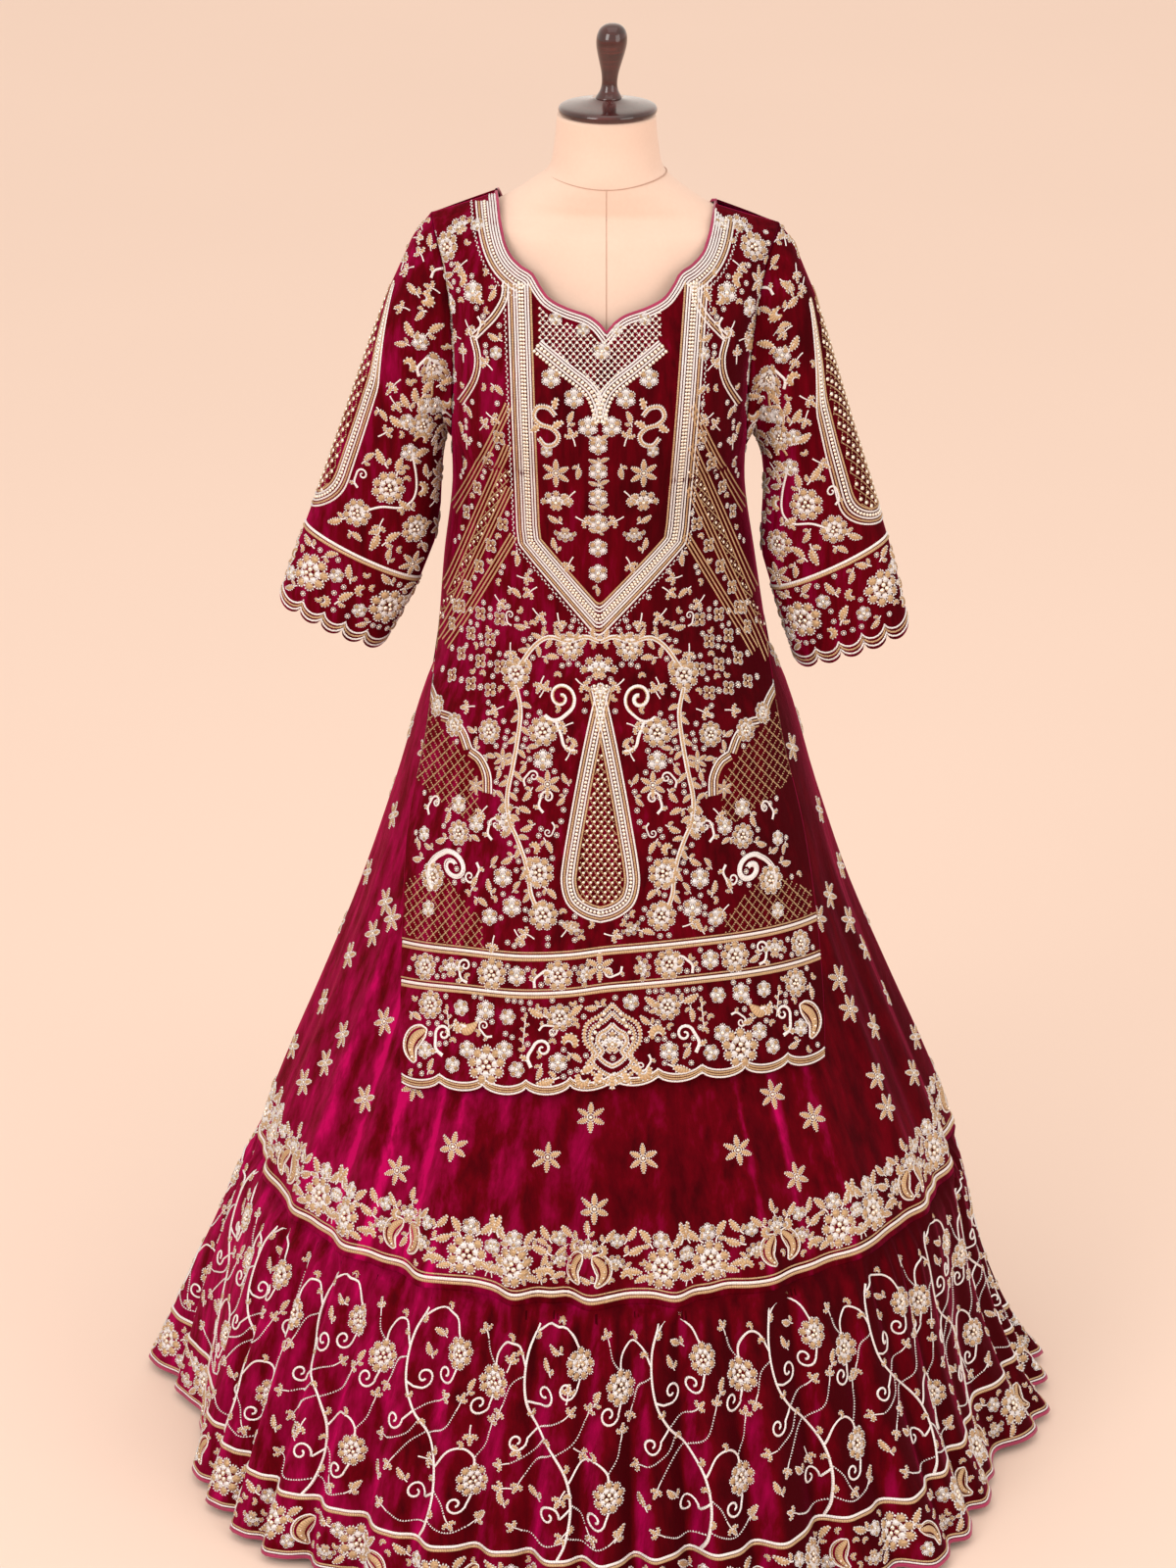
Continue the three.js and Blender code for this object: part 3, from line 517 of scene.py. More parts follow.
def velvet_paint(name, deep, bright, drag=(1, 1, 1)):
    """Silk velvet: a deep pile whose base colour carries painted sheen and painted shade, brighter on faces turned to
    the key light and in painted highlight streaks, with random crushed streaks and clouds of tone.
    """
    paint = Paint(name, Sheen_Weight=0.5, Sheen_Roughness=0.3, Sheen_Tint=(*colour(236, 18, 110), 1),
        Specular_IOR_Level=0.03)
    streaks = paint.noise(paint.scaled((52 * drag[0], 52 * drag[1], 5.2 * drag[2])), 1.0, 5.0, 0.62)
    clouds = paint.noise(paint.place, 9.0, 3.0, 0.5)
    nap = paint.attribute("nap")
    # Painted sheen and shade from the per-point value, broken into streaks, plus random tone from the streaks and
    # clouds.
    painted_sheen_and_tone = (nap * (streaks * 2.6 - 0.3) + (clouds - 0.5) * 0.45 + (streaks - 0.5) * 0.5).clamped()
    middle = tuple(0.55 * d + 0.45 * b for d, b in zip(deep, bright))
    # The ramp runs from painted shade darker than the deep colour, through the deep colour, to the painted highlight
    # colour.
    base = paint.ramp(painted_sheen_and_tone, (0.0, tuple(0.4 * d for d in deep)), (0.3, deep), (0.7, middle), (1.0, bright))
    pile = paint.noise(paint.place, 1500.0, 2.0) * 0.6 + paint.noise(paint.place, 420.0, 2.0) * 0.4
    crush = paint.noise(paint.scaled((60, 60, 22)), 1.0, 3.0)
    relief = paint.node("ShaderNodeBump", {}, {"Height": pile, "Distance": 0.0004,
        "Normal": paint.bump(crush, 0.002, 0.6), "Strength": 0.6})
    return paint.finish(Base_Color=base, Roughness=0.62 + pile * 0.25, Normal=relief)


def metal_thread_paint(name, deep, bright, metallic, roughness, coils):
    """Fine coiled metal thread, sewn down in short lengths. Its base colour runs from a shaded tone to the thread's
    colour: painted shade in the grooves between coil turns, with fine cells and random tone along the lengths.
    """
    paint = Paint(name, Metallic=metallic, Specular_IOR_Level=0.6)
    turns = (paint.attribute("nap") * coils).sine() * 0.5 + 0.5
    grain = paint.cells(1100.0)
    lengths = paint.noise(paint.place, 260.0, 2.0)
    # Painted shade: darker in the grooves between the coil's turns, from the distance along the thread; on beads the
    # tone changes bead by bead.
    base = paint.blend((turns * 0.35 + grain * 0.5 + lengths * 0.4 - 0.15).clamped(), deep, bright)
    relief = paint.bump(turns * 0.6 + grain * 0.5, 0.0005, 0.9)
    return paint.finish(Base_Color=base, Roughness=roughness + lengths * 0.2, Normal=relief)


def sequin_paint():
    paint = Paint("mirror_sequins", Metallic=0.95, Specular_IOR_Level=0.7, Coat_Weight=0.3)
    tone = paint.noise(paint.place, 300.0, 1.0)
    base = paint.blend(tone, colour(214, 196, 178), colour(255, 250, 240))
    return paint.finish(Base_Color=base, Roughness=0.1 + tone * 0.22)


def satin_paint(name, deep, bright):
    paint = Paint(name, Sheen_Weight=0.25, Specular_IOR_Level=0.45)
    twill = (paint.node("ShaderNodeSeparateXYZ", {}, {0: paint.place}, 2) * 9000).sine() * 0.5 + 0.5
    tone = paint.noise(paint.place, 40.0, 3.0)
    base = paint.blend(tone, deep, bright)
    return paint.finish(Base_Color=base, Roughness=0.38 + tone * 0.15, Normal=paint.bump(twill, 0.0002, 0.4))


def cover_paint(name, dark, pale):
    """The dress form's jersey cover, drawn tight, a little worn and yellowed."""
    paint = Paint(name, Specular_IOR_Level=0.22, Sheen_Weight=0.1)
    warp = (paint.node("ShaderNodeSeparateXYZ", {}, {0: paint.place}, 0) * 5200).sine()
    weft = (paint.node("ShaderNodeSeparateXYZ", {}, {0: paint.place}, 2) * 5200).sine()
    tone = paint.noise(paint.place, 7.0, 4.0, 0.6)
    specks = paint.noise(paint.place, 240.0, 3.0)
    base = paint.blend((tone * 0.8 + specks * 0.3 - 0.1).clamped(), dark, pale)
    return paint.finish(Base_Color=base, Roughness=0.62 + specks * 0.2,
        Normal=paint.bump(warp * weft * 0.25 + specks, 0.00025, 0.5))


def lacquer_paint():
    """Red-brown turned wood under clear lacquer, its grain round the turning."""
    paint = Paint("lacquered_wood_grain", Coat_Roughness=0.05, Specular_IOR_Level=0.25)
    drift = paint.noise(paint.place, 18.0, 3.0)
    rings = paint.noise(paint.scaled((24, 24, 210)), 1.0, 4.0, 0.6)
    pores = paint.noise(paint.scaled((260, 260, 26)), 1.0, 2.0)
    share = (rings * 0.8 + drift * 0.5 - 0.2).clamped()
    base = paint.ramp(share, (0.25, colour(30, 6, 6)), (0.55, colour(64, 14, 12)), (0.85, colour(104, 32, 24)))
    wear = (pores - 0.55) * 2.0
    return paint.finish(Base_Color=base, Roughness=0.15 + rings * 0.16, Coat_Weight=0.95 - wear.clamped() * 0.4,
        Normal=paint.bump(rings * 0.4 + pores * 0.4, 0.0003, 0.25))


def steel_paint():
    paint = Paint("satin_black_steel", Specular_IOR_Level=0.5)
    peel = paint.noise(paint.place, 900.0, 2.0)
    wear = paint.noise(paint.scaled((30, 30, 8)), 1.0, 5.0, 0.65)
    scuffed = ((wear - 0.62) * 6.0).clamped()
    base = paint.blend(scuffed, colour(38, 36, 36), colour(84, 80, 78))
    return paint.finish(Base_Color=base, Metallic=0.1 + scuffed * 0.5, Roughness=0.42 + peel * 0.12 + wear * 0.1,
        Normal=paint.bump(peel, 0.0002, 0.5))


def backdrop_paint(tone):
    paint = Paint("backdrop_paper", Specular_IOR_Level=0.1)
    base = paint.blend(paint.noise(paint.place, 0.8, 2.0), tuple(c * 0.97 for c in tone), tone)
    return paint.finish(Base_Color=base, Roughness=0.85 + paint.noise(paint.place, 300.0) * 0.1)


def finish_of(name):
    """A material by name, made the first time it is asked for."""
    if name in bpy.data.materials:
        return bpy.data.materials[name]
    cloth_colours = bpy.context.scene.lehenga_cloth
    # The highlight is the painted highlight colour of the velvet's painted sheen.
    deep, bright = tuple(cloth_colours.velvet), tuple(cloth_colours.highlight)
    gold, silver = tuple(cloth_colours.gold), tuple(cloth_colours.silver)
    makers = {
        "wine_velvet": lambda: velvet_paint(name, deep, bright),
        "kurti_velvet": lambda: velvet_paint(name, deep, bright, (1.6, 1.6, 2.4)),
        # Each metal's darker tone, 0.3 and 0.62 of its colour, is its painted shade.
        "gold_thread": lambda: metal_thread_paint(
            name, tuple(0.3 * c for c in gold), gold, 0.5, 0.3, 2.4
        ),
        "silver_beads": lambda: metal_thread_paint(
            name, tuple(0.62 * c for c in silver), silver, 0.3, 0.22, 2.2
        ),
        "mirror_sequins": sequin_paint,
        "magenta_satin": lambda: satin_paint(name, colour(120, 6, 52), colour(178, 16, 86)),
        "form_cover_cloth": lambda: cover_paint(name, colour(214, 184, 166), colour(230, 204, 188)),
        "form_seam_thread": lambda: cover_paint(name, colour(172, 136, 118), colour(196, 162, 144)),
        "lacquered_wood_grain": lacquer_paint,
        "satin_black_steel": steel_paint,
    }
    return makers[name]()


# ---- embroidery
# How far the stitches' lower edges are sunk, and how far the whole embroidery stands off the cloth.
SUNK, OFF_CLOTH = -0.3, 0.35
FINISHES = {"silver": "silver_beads", "gold": "gold_thread", "mirror": "mirror_sequins"}


def turned_by(points, degrees):
    t = np.radians(degrees)
    x, y = points[..., 0], points[..., 1]
    return columns_of(x * np.cos(t) - y * np.sin(t), x * np.sin(t) + y * np.cos(t))


def smooth_path(points, steps=6):
    """A smooth line through a few points."""
    points = np.asarray(points, float)
    rows = {"k": np.arange(len(points), dtype=float), "x": points[:, 0], "y": points[:, 1]}
    at = np.linspace(0, len(points) - 1, (len(points) - 1) * steps + 1)
    return columns_of(through(rows, "x", at, "k"), through(rows, "y", at, "k"))


def spiral(x, y, reach, start, sweep, inner=0.12, steps=26):
    """A curl that winds in round (x, y), its angles in degrees."""
    t = np.linspace(0, 1, steps)
    angle = np.radians(start + sweep * t)
    radius = reach * mix(1, inner, t**0.9)
    return columns_of(x + radius * np.cos(angle), y + radius * np.sin(angle))


def offset(path, by):
    """The line beside a line, by millimetres to its left, with its corners kept sharp."""
    path = np.asarray(path, float)
    step = unit(np.diff(path, axis=0))
    normal = columns_of(-step[:, 1], step[:, 0])
    before, after = joined(normal[:1], normal), joined(normal, normal[-1:])
    share = 1 + np.einsum("ij,ij->i", before, after)
    return path + (before + after) / np.maximum(share, 0.4)[:, None] * by


def ridge(middle, side, rise):
    """A raised strip with two slopes along a line: its corners and its triangles."""
    low = np.full(len(middle), SUNK)
    lines = [np.column_stack(line) for line in ((middle + side, low), (middle, rise), (middle - side, low))]
    slopes = np.array([[0, 1, 3], [1, 4, 3], [1, 2, 4], [2, 5, 4]])
    faces = (np.arange(len(middle) - 1)[:, None, None] * 3 + slopes[None]).reshape(-1, 3)
    return np.stack(lines, 1).reshape(-1, 3), faces


class Motif:
    """Beads, threads and sequins about a middle point, in millimetres, by kind."""

    def __init__(self):
        self.parts = []

    def add(self, kind, vertices, faces, along):
        self.parts.append((kind, np.asarray(vertices, float), np.asarray(faces, int), np.asarray(along, float)))
        return self

    def thread(self, kind, path, width, height=0.42):
        """A raised thread or a filled shape along a path; width is one number or one for each point."""
        path = np.asarray(path, float)
        width = np.broadcast_to(np.asarray(width, float), len(path)).copy()
        side = left_of(path) * width[:, None] / 2
        rise = np.minimum(width * height, 2.2)
        rise[0] = rise[-1] = 0
        return self.add(kind, *ridge(path, side, rise), np.repeat(run_of(path), 3))

    def leaf(self, x, y, direction, length, width, bend=0.0, kind="gold", edge="silver", bead=2.1):
        """A pointed leaf filled with thread, with beads down both edges."""
        t = np.linspace(0, 1, 5)
        line = columns_of(length * t, bend * length * t * (1 - t) * 2)
        path = turned_by(line, direction) + (x, y)
        self.thread(kind, path, width * np.maximum(np.sin(np.pi * t**0.85) ** 0.8, 0.12), 0.34)
        if edge:
            count = max(3, int(length / (bead * 1.3)))
            t = (np.arange(count) + 0.5) / count
            for side in (-1, 1):
                bulge = side * width / 2 * np.sin(np.pi * t**0.85) ** 0.8
                rim = columns_of(length * t, bend * length * t * (1 - t) * 2 + bulge)
                self.beads(edge, turned_by(rim, direction) + (x, y), bead)
        return self

    def beads(self, kind, points, size):
        """Round beads, each a low pyramid that smooth shading rounds off."""
        points = np.atleast_2d(points)
        corner = np.array([[0, 1], [-0.87, -0.5], [0.87, -0.5]]) * size * 0.68
        base = points[:, None] + corner[None]
        tops = np.column_stack([points, np.full(len(points), size * 0.8)])[:, None]
        vertices = np.concatenate([np.dstack([base, np.full(base.shape[:2], SUNK)]), tops], 1).reshape(-1, 3)
        pyramid = np.array([[0, 1, 3], [1, 2, 3], [2, 0, 3]])
        faces = (np.arange(len(points))[:, None, None] * 4 + pyramid[None]).reshape(-1, 3)
        return self.add(kind, vertices, faces, np.repeat(np.arange(len(points)) * 1.3, 4))

    def ring(self, kind, x, y, radius, size, start=0.0, sweep=360.0):
        count = max(3, int(math.radians(sweep) * radius / (size * 1.3)))
        t = np.radians(start + sweep * (np.arange(count) + 0.5) / count)
        return self.beads(kind, columns_of(x + radius * np.cos(t), y + radius * np.sin(t)), size)

    def sequin(self, x, y, radius, lift=0.9):
        """A flat mirror disc with a stitch in its middle."""
        t = np.radians(np.arange(6) * 60)
        rim = np.column_stack([x + radius * np.cos(t), y + radius * np.sin(t), np.full(6, lift * 0.75)])
        low = np.column_stack([x + radius * np.cos(t), y + radius * np.sin(t), np.full(6, -0.2)])
        vertices = joined(rim, [[x, y, lift]], low)
        k, n = np.arange(6), (np.arange(6) + 1) % 6
        faces = [columns_of(k, n, np.full(6, 6)), columns_of(k + 7, n + 7, n), columns_of(k + 7, n, k)]
        return self.add("mirror", vertices, np.concatenate(faces), np.zeros(13))

    def dome(self, kind, x, y, radius, stretch=1.0, direction=0.0, lift=0.3, sides=6):
        """A raised filled round or oval."""
        t = circle(sides)
        outline = turned_by(columns_of(radius * stretch * np.cos(t), radius * np.sin(t)), direction)
        rim = np.column_stack([outline + (x, y), np.full(sides, SUNK)])
        if radius < 3.4:
            k, n = np.arange(sides), (np.arange(sides) + 1) % sides
            peak = joined(rim, [[x, y, radius * lift * 1.3]])
            return self.add(kind, peak, columns_of(k, n, np.full(sides, sides)), np.append(t * 3, 0))
        crown = np.column_stack([outline * 0.6 + (x, y), np.full(sides, radius * lift)])
        vertices = joined(rim, crown, [[x, y, radius * lift * 1.2]])
        k, n = np.arange(sides), (np.arange(sides) + 1) % sides
        faces = [columns_of(k, n, n + sides), columns_of(k, n + sides, k + sides),
            columns_of(k + sides, n + sides, np.full(sides, 2 * sides))]
        reach = joined(t * 3, t * 2, [0])
        return self.add(kind, vertices, np.concatenate(faces), reach)

    def join(self, other, x=0.0, y=0.0, turn=0.0, size=1.0, mirror=False):
        for kind, vertices, faces, along in other.parts:
            flat = vertices[:, :2] * (-1 if mirror else 1, 1)
            placed = turned_by(flat * size, turn) + (x, y)
            lifted = np.column_stack([placed, vertices[:, 2] * size**0.5])
            self.add(kind, lifted, faces[:, ::-1] if mirror else faces, along)
        return self


def star(points=6, reach=17.5, width=5.8):
    made = Motif()
    for k in range(points):
        a = 90 + 360 / points * k
        made.leaf(*polar(2.4, a), a, reach - 2.4, width, bead=1.8)
    return made.sequin(0, 0, 2.3).ring("silver", 0, 0, 3.6, 1.5)


def rosette(petals=6, reach=12.5):
    """A round flower of looped petals."""
    made = Motif()
    for k in range(petals):
        radius = reach * 0.36
        x, y = polar(reach * 0.6, 90 + 360 / petals * k)
        made.dome("gold" if k % 2 else "silver", x, y, radius * 0.8)
        made.ring("silver", x, y, radius, 2.1)
    return made.sequin(0, 0, reach * 0.24, 1.6).ring("silver", 0, 0, reach * 0.33, 1.5)


def quad():
    """A small four-petalled flower."""
    made = Motif()
    for k in range(4):
        a = 45 + 90 * k
        made.dome("gold", *polar(5, a), 2.6, 1.25, a, 0.4)
        made.ring("silver", *polar(5.4, a), 3.3, 1.5, a - 120, 240)
    return made.sequin(0, 0, 1.5, 1.3)


def bloom(reach=18.0):
    """A full flower of two rings of scalloped petals round a ring of gold beads and three sequins."""
    made = Motif()
    for ring, (count, middle, radius, turn) in enumerate(((9, 0.74, 0.25, 0), (7, 0.44, 0.2, 20))):
        for k in range(count):
            a = 90 + turn + 360 / count * k
            x, y = polar(reach * middle, a)
            made.dome(("gold", "silver")[ring], x, y, reach * radius * 0.9, lift=0.3 + 0.25 * ring)
            made.ring("silver", x, y, reach * radius, 2.0, a - 105, 210)
    for k in range(3):
        made.sequin(*polar(reach * 0.17, 90 + 120 * k), reach * 0.13, 2.6)
    return made.ring("gold", 0, 0, reach * 0.3, 1.6)


def fan_flower(reach=18.0):
    """A carnation seen from the side: layered scallops over a calyx, opening upwards."""
    made = Motif()
    for row, (count, radius, spread) in enumerate(((5, 0.86, 150), (4, 0.56, 116), (3, 0.3, 90))):
        for k in range(count):
            a = math.radians(90 - spread / 2 + spread * k / (count - 1))
            x, y = reach * radius * math.cos(a), reach * (radius * math.sin(a) - 0.22)
            size = reach * (0.2 - 0.02 * row)
            made.dome(("gold", "silver", "gold")[row], x, y, size * 0.95, lift=0.3 + 0.12 * row)
            made.ring("silver", x, y, size * 1.1, 2.0, math.degrees(a) - 100, 200)
    for a in (215, 245, 295, 325):
        made.leaf(0, -reach * 0.12, a, reach * 0.5, reach * 0.22, bead=1.5)
    return made.sequin(0, reach * 0.02, reach * 0.13, 2.8)


def leaf_motif():
    """A leaf on a short stalk with a small bud beside it."""
    made = Motif().leaf(0, -7, 94, 18, 7.2, 0.12)
    made.thread("silver", [(-0.5, -6), (0, 0), (-1, 6)], 1.3, 1.8)
    made.thread("silver", smooth_path([(1.2, -12), (0.6, -9), (0, -6)], 3), 1.7)
    return made.leaf(1.5, -8, 38, 8.5, 4.2, -0.2, bead=1.5)


def sprig(stem=14.0):
    """Three leaves on a short beaded stem that rises from the middle point."""
    made = Motif()
    line = smooth_path([(0, 0), (0.6, stem * 0.5), (0, stem)], 2)
    made.thread("silver", line, 1.7)
    made.leaf(0, stem - 1, 90, 11, 5)
    made.leaf(-0.5, stem - 2, 148, 9.5, 4.6, 0.2)
    return made.leaf(0.5, stem - 2, 32, 9.5, 4.6, -0.2)


def twig(count=5, gap=8.0):
    """A stem with pairs of leaves and one at its tip."""
    made = Motif()
    made.thread("silver", [(0, 0), (0, gap * count * 0.5), (0, gap * count)], 1.7)
    for k in range(count):
        made.leaf(0, gap * (k + 0.4), 32 if k % 2 else 148, 9, 4.4, 0.25 if k % 2 else -0.25)
    return made.leaf(0, gap * count, 90, 10, 4.8)


def curl(reach=14.0):
    """A single curl that rises from the middle point and winds over to the right."""
    stem = smooth_path([(0, 0), (-reach * 0.35, reach * 0.6), (-reach * 0.1, reach * 1.35)], 3)
    wind = spiral(reach * 0.55, reach * 1.35, reach * 0.65, 180, -470, steps=20)
    path = joined(stem[:-1], wind)
    width = mix(3.4, 1.8, np.linspace(0, 1, len(path)))
    made = Motif().thread("silver", path, width)
    return made.leaf(-reach * 0.3, reach * 0.5, 165, reach * 0.6, 4.4, 0.2)


def comma(length=20.0):
    """A hooked leaf: a full body whose tip curls over."""
    t = np.linspace(0, 1, 9)
    angle = np.radians(-100 + 235 * t**1.2)
    path = np.cumsum(columns_of(np.cos(angle + 1.9), np.sin(angle + 1.9)) * length / 8, 0)
    path -= path[0]
    width = length * 0.3 * np.sin(np.pi * np.clip(t * 0.9 + 0.08, 0, 1)) ** 0.7
    made = Motif().thread("gold", path, width)
    side = left_of(path) * width[:, None] / 2
    for edge in (path + side, path - side):
        made.beads("silver", edge[1:-1], 2.0)
    return made


def scroll(length=34.0):
    """An S of thick beaded cord with small leaves at its bends."""
    points = [(0.28, 0.72), (0.16, 0.92), (-0.1, 0.98), (-0.26, 0.78), (-0.14, 0.56)]
    points += [(0.12, 0.42), (0.24, 0.2), (0.1, 0.02), (-0.14, 0.02), (-0.26, 0.22)]
    path = smooth_path(np.array(points) * length, 5)
    made = Motif().thread("gold", path, 2.6 * np.sin(np.pi * np.linspace(0.12, 0.88, len(path))) ** 0.5 + 0.4)
    for by in (-1.3, 1.3):
        made.beads("silver", offset(path, by), 1.9)
    made.leaf(-length * 0.16, length * 0.58, 205, length * 0.34, 5, 0.2)
    made.leaf(length * 0.3, length * 0.86, 60, length * 0.3, 5, 0.2)
    return made.leaf(length * 0.14, length * 0.4, 20, length * 0.34, 5, 0.2)


def paisley(length=40.0):
    """A paisley that stands on its round end, its tip hooked to the right."""
    t = np.linspace(0, 1, 16)
    x = length * (-0.16 * np.sin(np.pi * t) + 0.36 * t**3)
    y = length * (0.04 + 0.86 * t - 0.32 * np.clip(t - 0.72, 0, 1) ** 1.1)
    width = length * 0.5 * np.clip(np.sin(np.pi * (1 - t) ** 0.62 * 0.97), 0.03, 1) ** 0.75
    path = columns_of(x, y)
    side = left_of(path)
    made = Motif().thread("gold", path, width * 0.42, 0.3)
    for share, kind in ((1.0, "silver"), (0.76, "gold")):
        one, other = path + side * width[:, None] / 2 * share, path - side * width[:, None] / 2 * share
        outline = joined(one, other[::-1], one[:1])
        made.thread(kind, outline, 1.9 if share == 1 else 1.5)
        made.beads("silver", outline, 1.5)
    for k in (2, 5, 8):
        made.sequin(*path[k], length * (0.045 - 0.002 * k), 2.4)
    return made


def bird(length=26.0):
    """A small bird that faces right, with its tail raised."""
    t = np.linspace(0, 1, 12)
    path = columns_of(length * (-0.32 + 0.66 * t), length * (0.02 + 0.34 * t**2.2))
    width = length * 0.34 * np.sin(np.pi * t**0.8) ** 0.8 + 0.6
    made = Motif().thread("gold", path, width, 0.34)
    made.dome("silver", length * 0.36, length * 0.42, length * 0.09)
    made.thread("gold", [(length * 0.42, length * 0.43), (length * 0.5, length * 0.41), (length * 0.55, length * 0.38)],
        1.5)
    for k, a in enumerate((128, 148, 168)):
        made.leaf(-length * 0.24, length * 0.04, a, length * (0.5 - 0.05 * k), 4, 0.2)
    made.leaf(-length * 0.02, length * 0.16, 160, length * 0.34, length * 0.17, 0.2, "silver", "gold")
    return made.ring("silver", length * 0.36, length * 0.42, length * 0.11, 1.4)


def medallion(height=62.0):
    """Two nested ogee leaves round a flower, with a fan of leaves below."""
    made = Motif()
    for share, kind, wide in ((1.0, "gold", 2.2), (0.8, "gold", 1.6), (0.52, "gold", 1.6)):
        half = [(0, 0.5), (0.12, 0.38), (0.3, 0.26), (0.33, 0.06), (0.22, -0.1), (0.3, -0.24), (0.16, -0.38),
            (0, -0.46)]
        one = smooth_path(np.array(half) * height * share, 5)
        outline = joined(one, (one * (-1, 1))[::-1])
        made.thread(kind, outline, wide)
        for by in (-1.2, 1.2):
            made.beads("silver", offset(outline, by), 1.5)
    made.join(fan_flower(height * 0.19), 0, height * 0.02)
    for k in range(5):
        for side in (-1, 1):
            made.sequin(side * height * (0.1 + 0.035 * k), height * (0.39 - 0.075 * k), 1.7, 2.2)
    for a in (-150, -120, -90, -60, -30):
        x, y = height * 0.24 * math.cos(math.radians(a)), height * (0.18 * math.sin(math.radians(a)) - 0.14)
        made.leaf(x, y, a, height * 0.2, 5.2)
    return made


MOTIFS = {
    "star": star(),
    "rosette": rosette(),
    "quad": quad(),
    "bloom": bloom(),
    "fan": fan_flower(),
    "leaf": leaf_motif(),
    "sprig": sprig(),
    "twig": twig(),
    "curl": curl(),
    "comma": comma(),
    "scroll": scroll(),
    "paisley": paisley(),
    "bird": bird(),
    "medallion": medallion(),
    "silver_bead": Motif().beads("silver", [(0, 0)], 1.0),
    "gold_bead": Motif().beads("gold", [(0, 0)], 1.0),
    "sequin": Motif().sequin(0, 0, 1.0, 0.7),
    "dot": Motif().sequin(0, 0, 1.6).ring("silver", 0, 0, 2.6, 1.5),
    "lobe": Motif().ring("silver", 0, 0, 1.0, 0.62, 0, 180),
}


class Stitches:
    def __init__(self, name, surface, limits=None):
        self.name, self.surface, self.limits = name, surface, limits
        self.heap = {kind: [] for kind in FINISHES}

    def metric(self, u, v, reach):
        """Steps that cover a millimetre of cloth, averaged over reach: u for one to the side,
        v for one upwards, and the v to take back for each one to the side where the two slant."""
        wide = (self.surface(u + reach, v) - self.surface(u - reach, v)) / (2 * reach)
        tall = (self.surface(u, v + reach) - self.surface(u, v - reach)) / (2 * reach)
        rise = np.maximum(np.linalg.norm(tall, axis=-1), 0.3)
        slant = np.einsum("...i,...i->...", wide, tall) / rise
        across = np.maximum(np.linalg.norm(wide - tall * (slant / rise)[..., None], axis=-1), 0.4)
        return 1 / across, 1 / rise, slant / (across * rise)

    def put(self, motif, u, v, turn=0.0, size=1.0, mirror=False, reach=6.0):
        """Lays a motif at one place or at many."""
        u, v, turn, size = (a.ravel() for a in np.broadcast_arrays(*map(np.atleast_1d, (u, v, turn, size))))
        wide, tall, slant = self.metric(u * 1.0, v * 1.0, reach)
        for kind, vertices, faces, along in MOTIFS[motif].parts if isinstance(motif, str) else motif.parts:
            flat = vertices[None, :, :2] * size[:, None, None] * (-1 if mirror else 1, 1)
            t = np.radians(turn)[:, None]
            x = flat[..., 0] * np.cos(t) - flat[..., 1] * np.sin(t)
            y = flat[..., 0] * np.sin(t) + flat[..., 1] * np.cos(t)
            rise = np.where(vertices[:, 2] > 0, vertices[:, 2] * size[:, None] ** 0.7, vertices[:, 2])
            lift = y * tall[:, None] - x * slant[:, None]
            spot = columns_of(u[:, None] + x * wide[:, None], v[:, None] + lift, rise)
            count = len(vertices)
            index = (np.arange(len(u))[:, None, None] * count + (faces[:, ::-1] if mirror else faces)[None])
            tone = along[None] + np.arange(len(u))[:, None] * 1.7
            self.heap[kind].append((spot.reshape(-1, 3), index.reshape(-1, 3), tone.ravel()))

    def pair(self, motif, axis, u, v, turn=0.0, size=1.0, reach=6.0):
        """Lays a motif and its mirror image on both sides of an upright axis."""
        self.put(motif, u, v, turn, size, False, reach)
        self.put(motif, 2 * axis - np.asarray(u), v, -np.asarray(turn), size, True, reach)

    def spaced(self, path, pitch):
        """Points every pitch millimetres of cloth along a line of (u, v), and the line's direction there."""
        path = np.asarray(path, float)
        fine = np.stack([np.interp(np.linspace(0, len(path) - 1, len(path) * 12), np.arange(len(path)), c)
            for c in path.T], -1)
        along = run_of(self.surface(fine[:, 0], fine[:, 1]))
        count = max(2, int(round(along[-1] / pitch)) + 1)
        at = np.linspace(0, along[-1], count)
        places = np.stack([np.interp(at, along, c) for c in fine.T], -1)
        return places, at

    def beads(self, path, size=2.1, kind="silver", gap=1.3):
        """A row of beads on the thread that couches them."""
        places, _ = self.spaced(path, size * gap)
        self.cord(path, size * 0.95, kind, 5.5)
        self.put(f"{kind}_bead", places[:, 0], places[:, 1], 0, size, reach=1.5)

    def sequins(self, path, radius=1.9, gap=2.1):
        places, _ = self.spaced(path, radius * gap)
        self.put("sequin", places[:, 0], places[:, 1], 0, radius, reach=1.5)

    def lobes(self, path, radius=3.0, side=1):
        """A row of small beaded loops along one side of a line."""
        places, _ = self.spaced(path, radius * 2.1)
        step = np.gradient(places, axis=0)
        turn = np.degrees(np.arctan2(step[:, 1], step[:, 0])) + (0 if side > 0 else 180)
        self.put("lobe", places[:, 0], places[:, 1], turn, radius, reach=2.0)

    def cord(self, path, width=3.0, kind="silver", pitch=3.0, taper=1.0):
        """A couched cord along a line of (u, v)."""
        places, at = self.spaced(path, pitch)
        wide, tall, slant = self.metric(places[:, 0], places[:, 1], 1.5)
        step = np.gradient(places, axis=0)
        x = step[:, 0] / wide
        y = (step[:, 1] + x * slant) / tall
        size = np.maximum(np.hypot(x, y), 1e-9)
        half = mix(1.0, taper, np.linspace(0, 1, len(places))) * width / 2
        x, y = -y / size * half, x / size * half
        side = columns_of(x * wide, y * tall - x * slant)
        top = half * 0.9
        top[0] = top[-1] = 0
        self.heap[kind].append((*ridge(places, side, top), np.repeat(at, 3)))

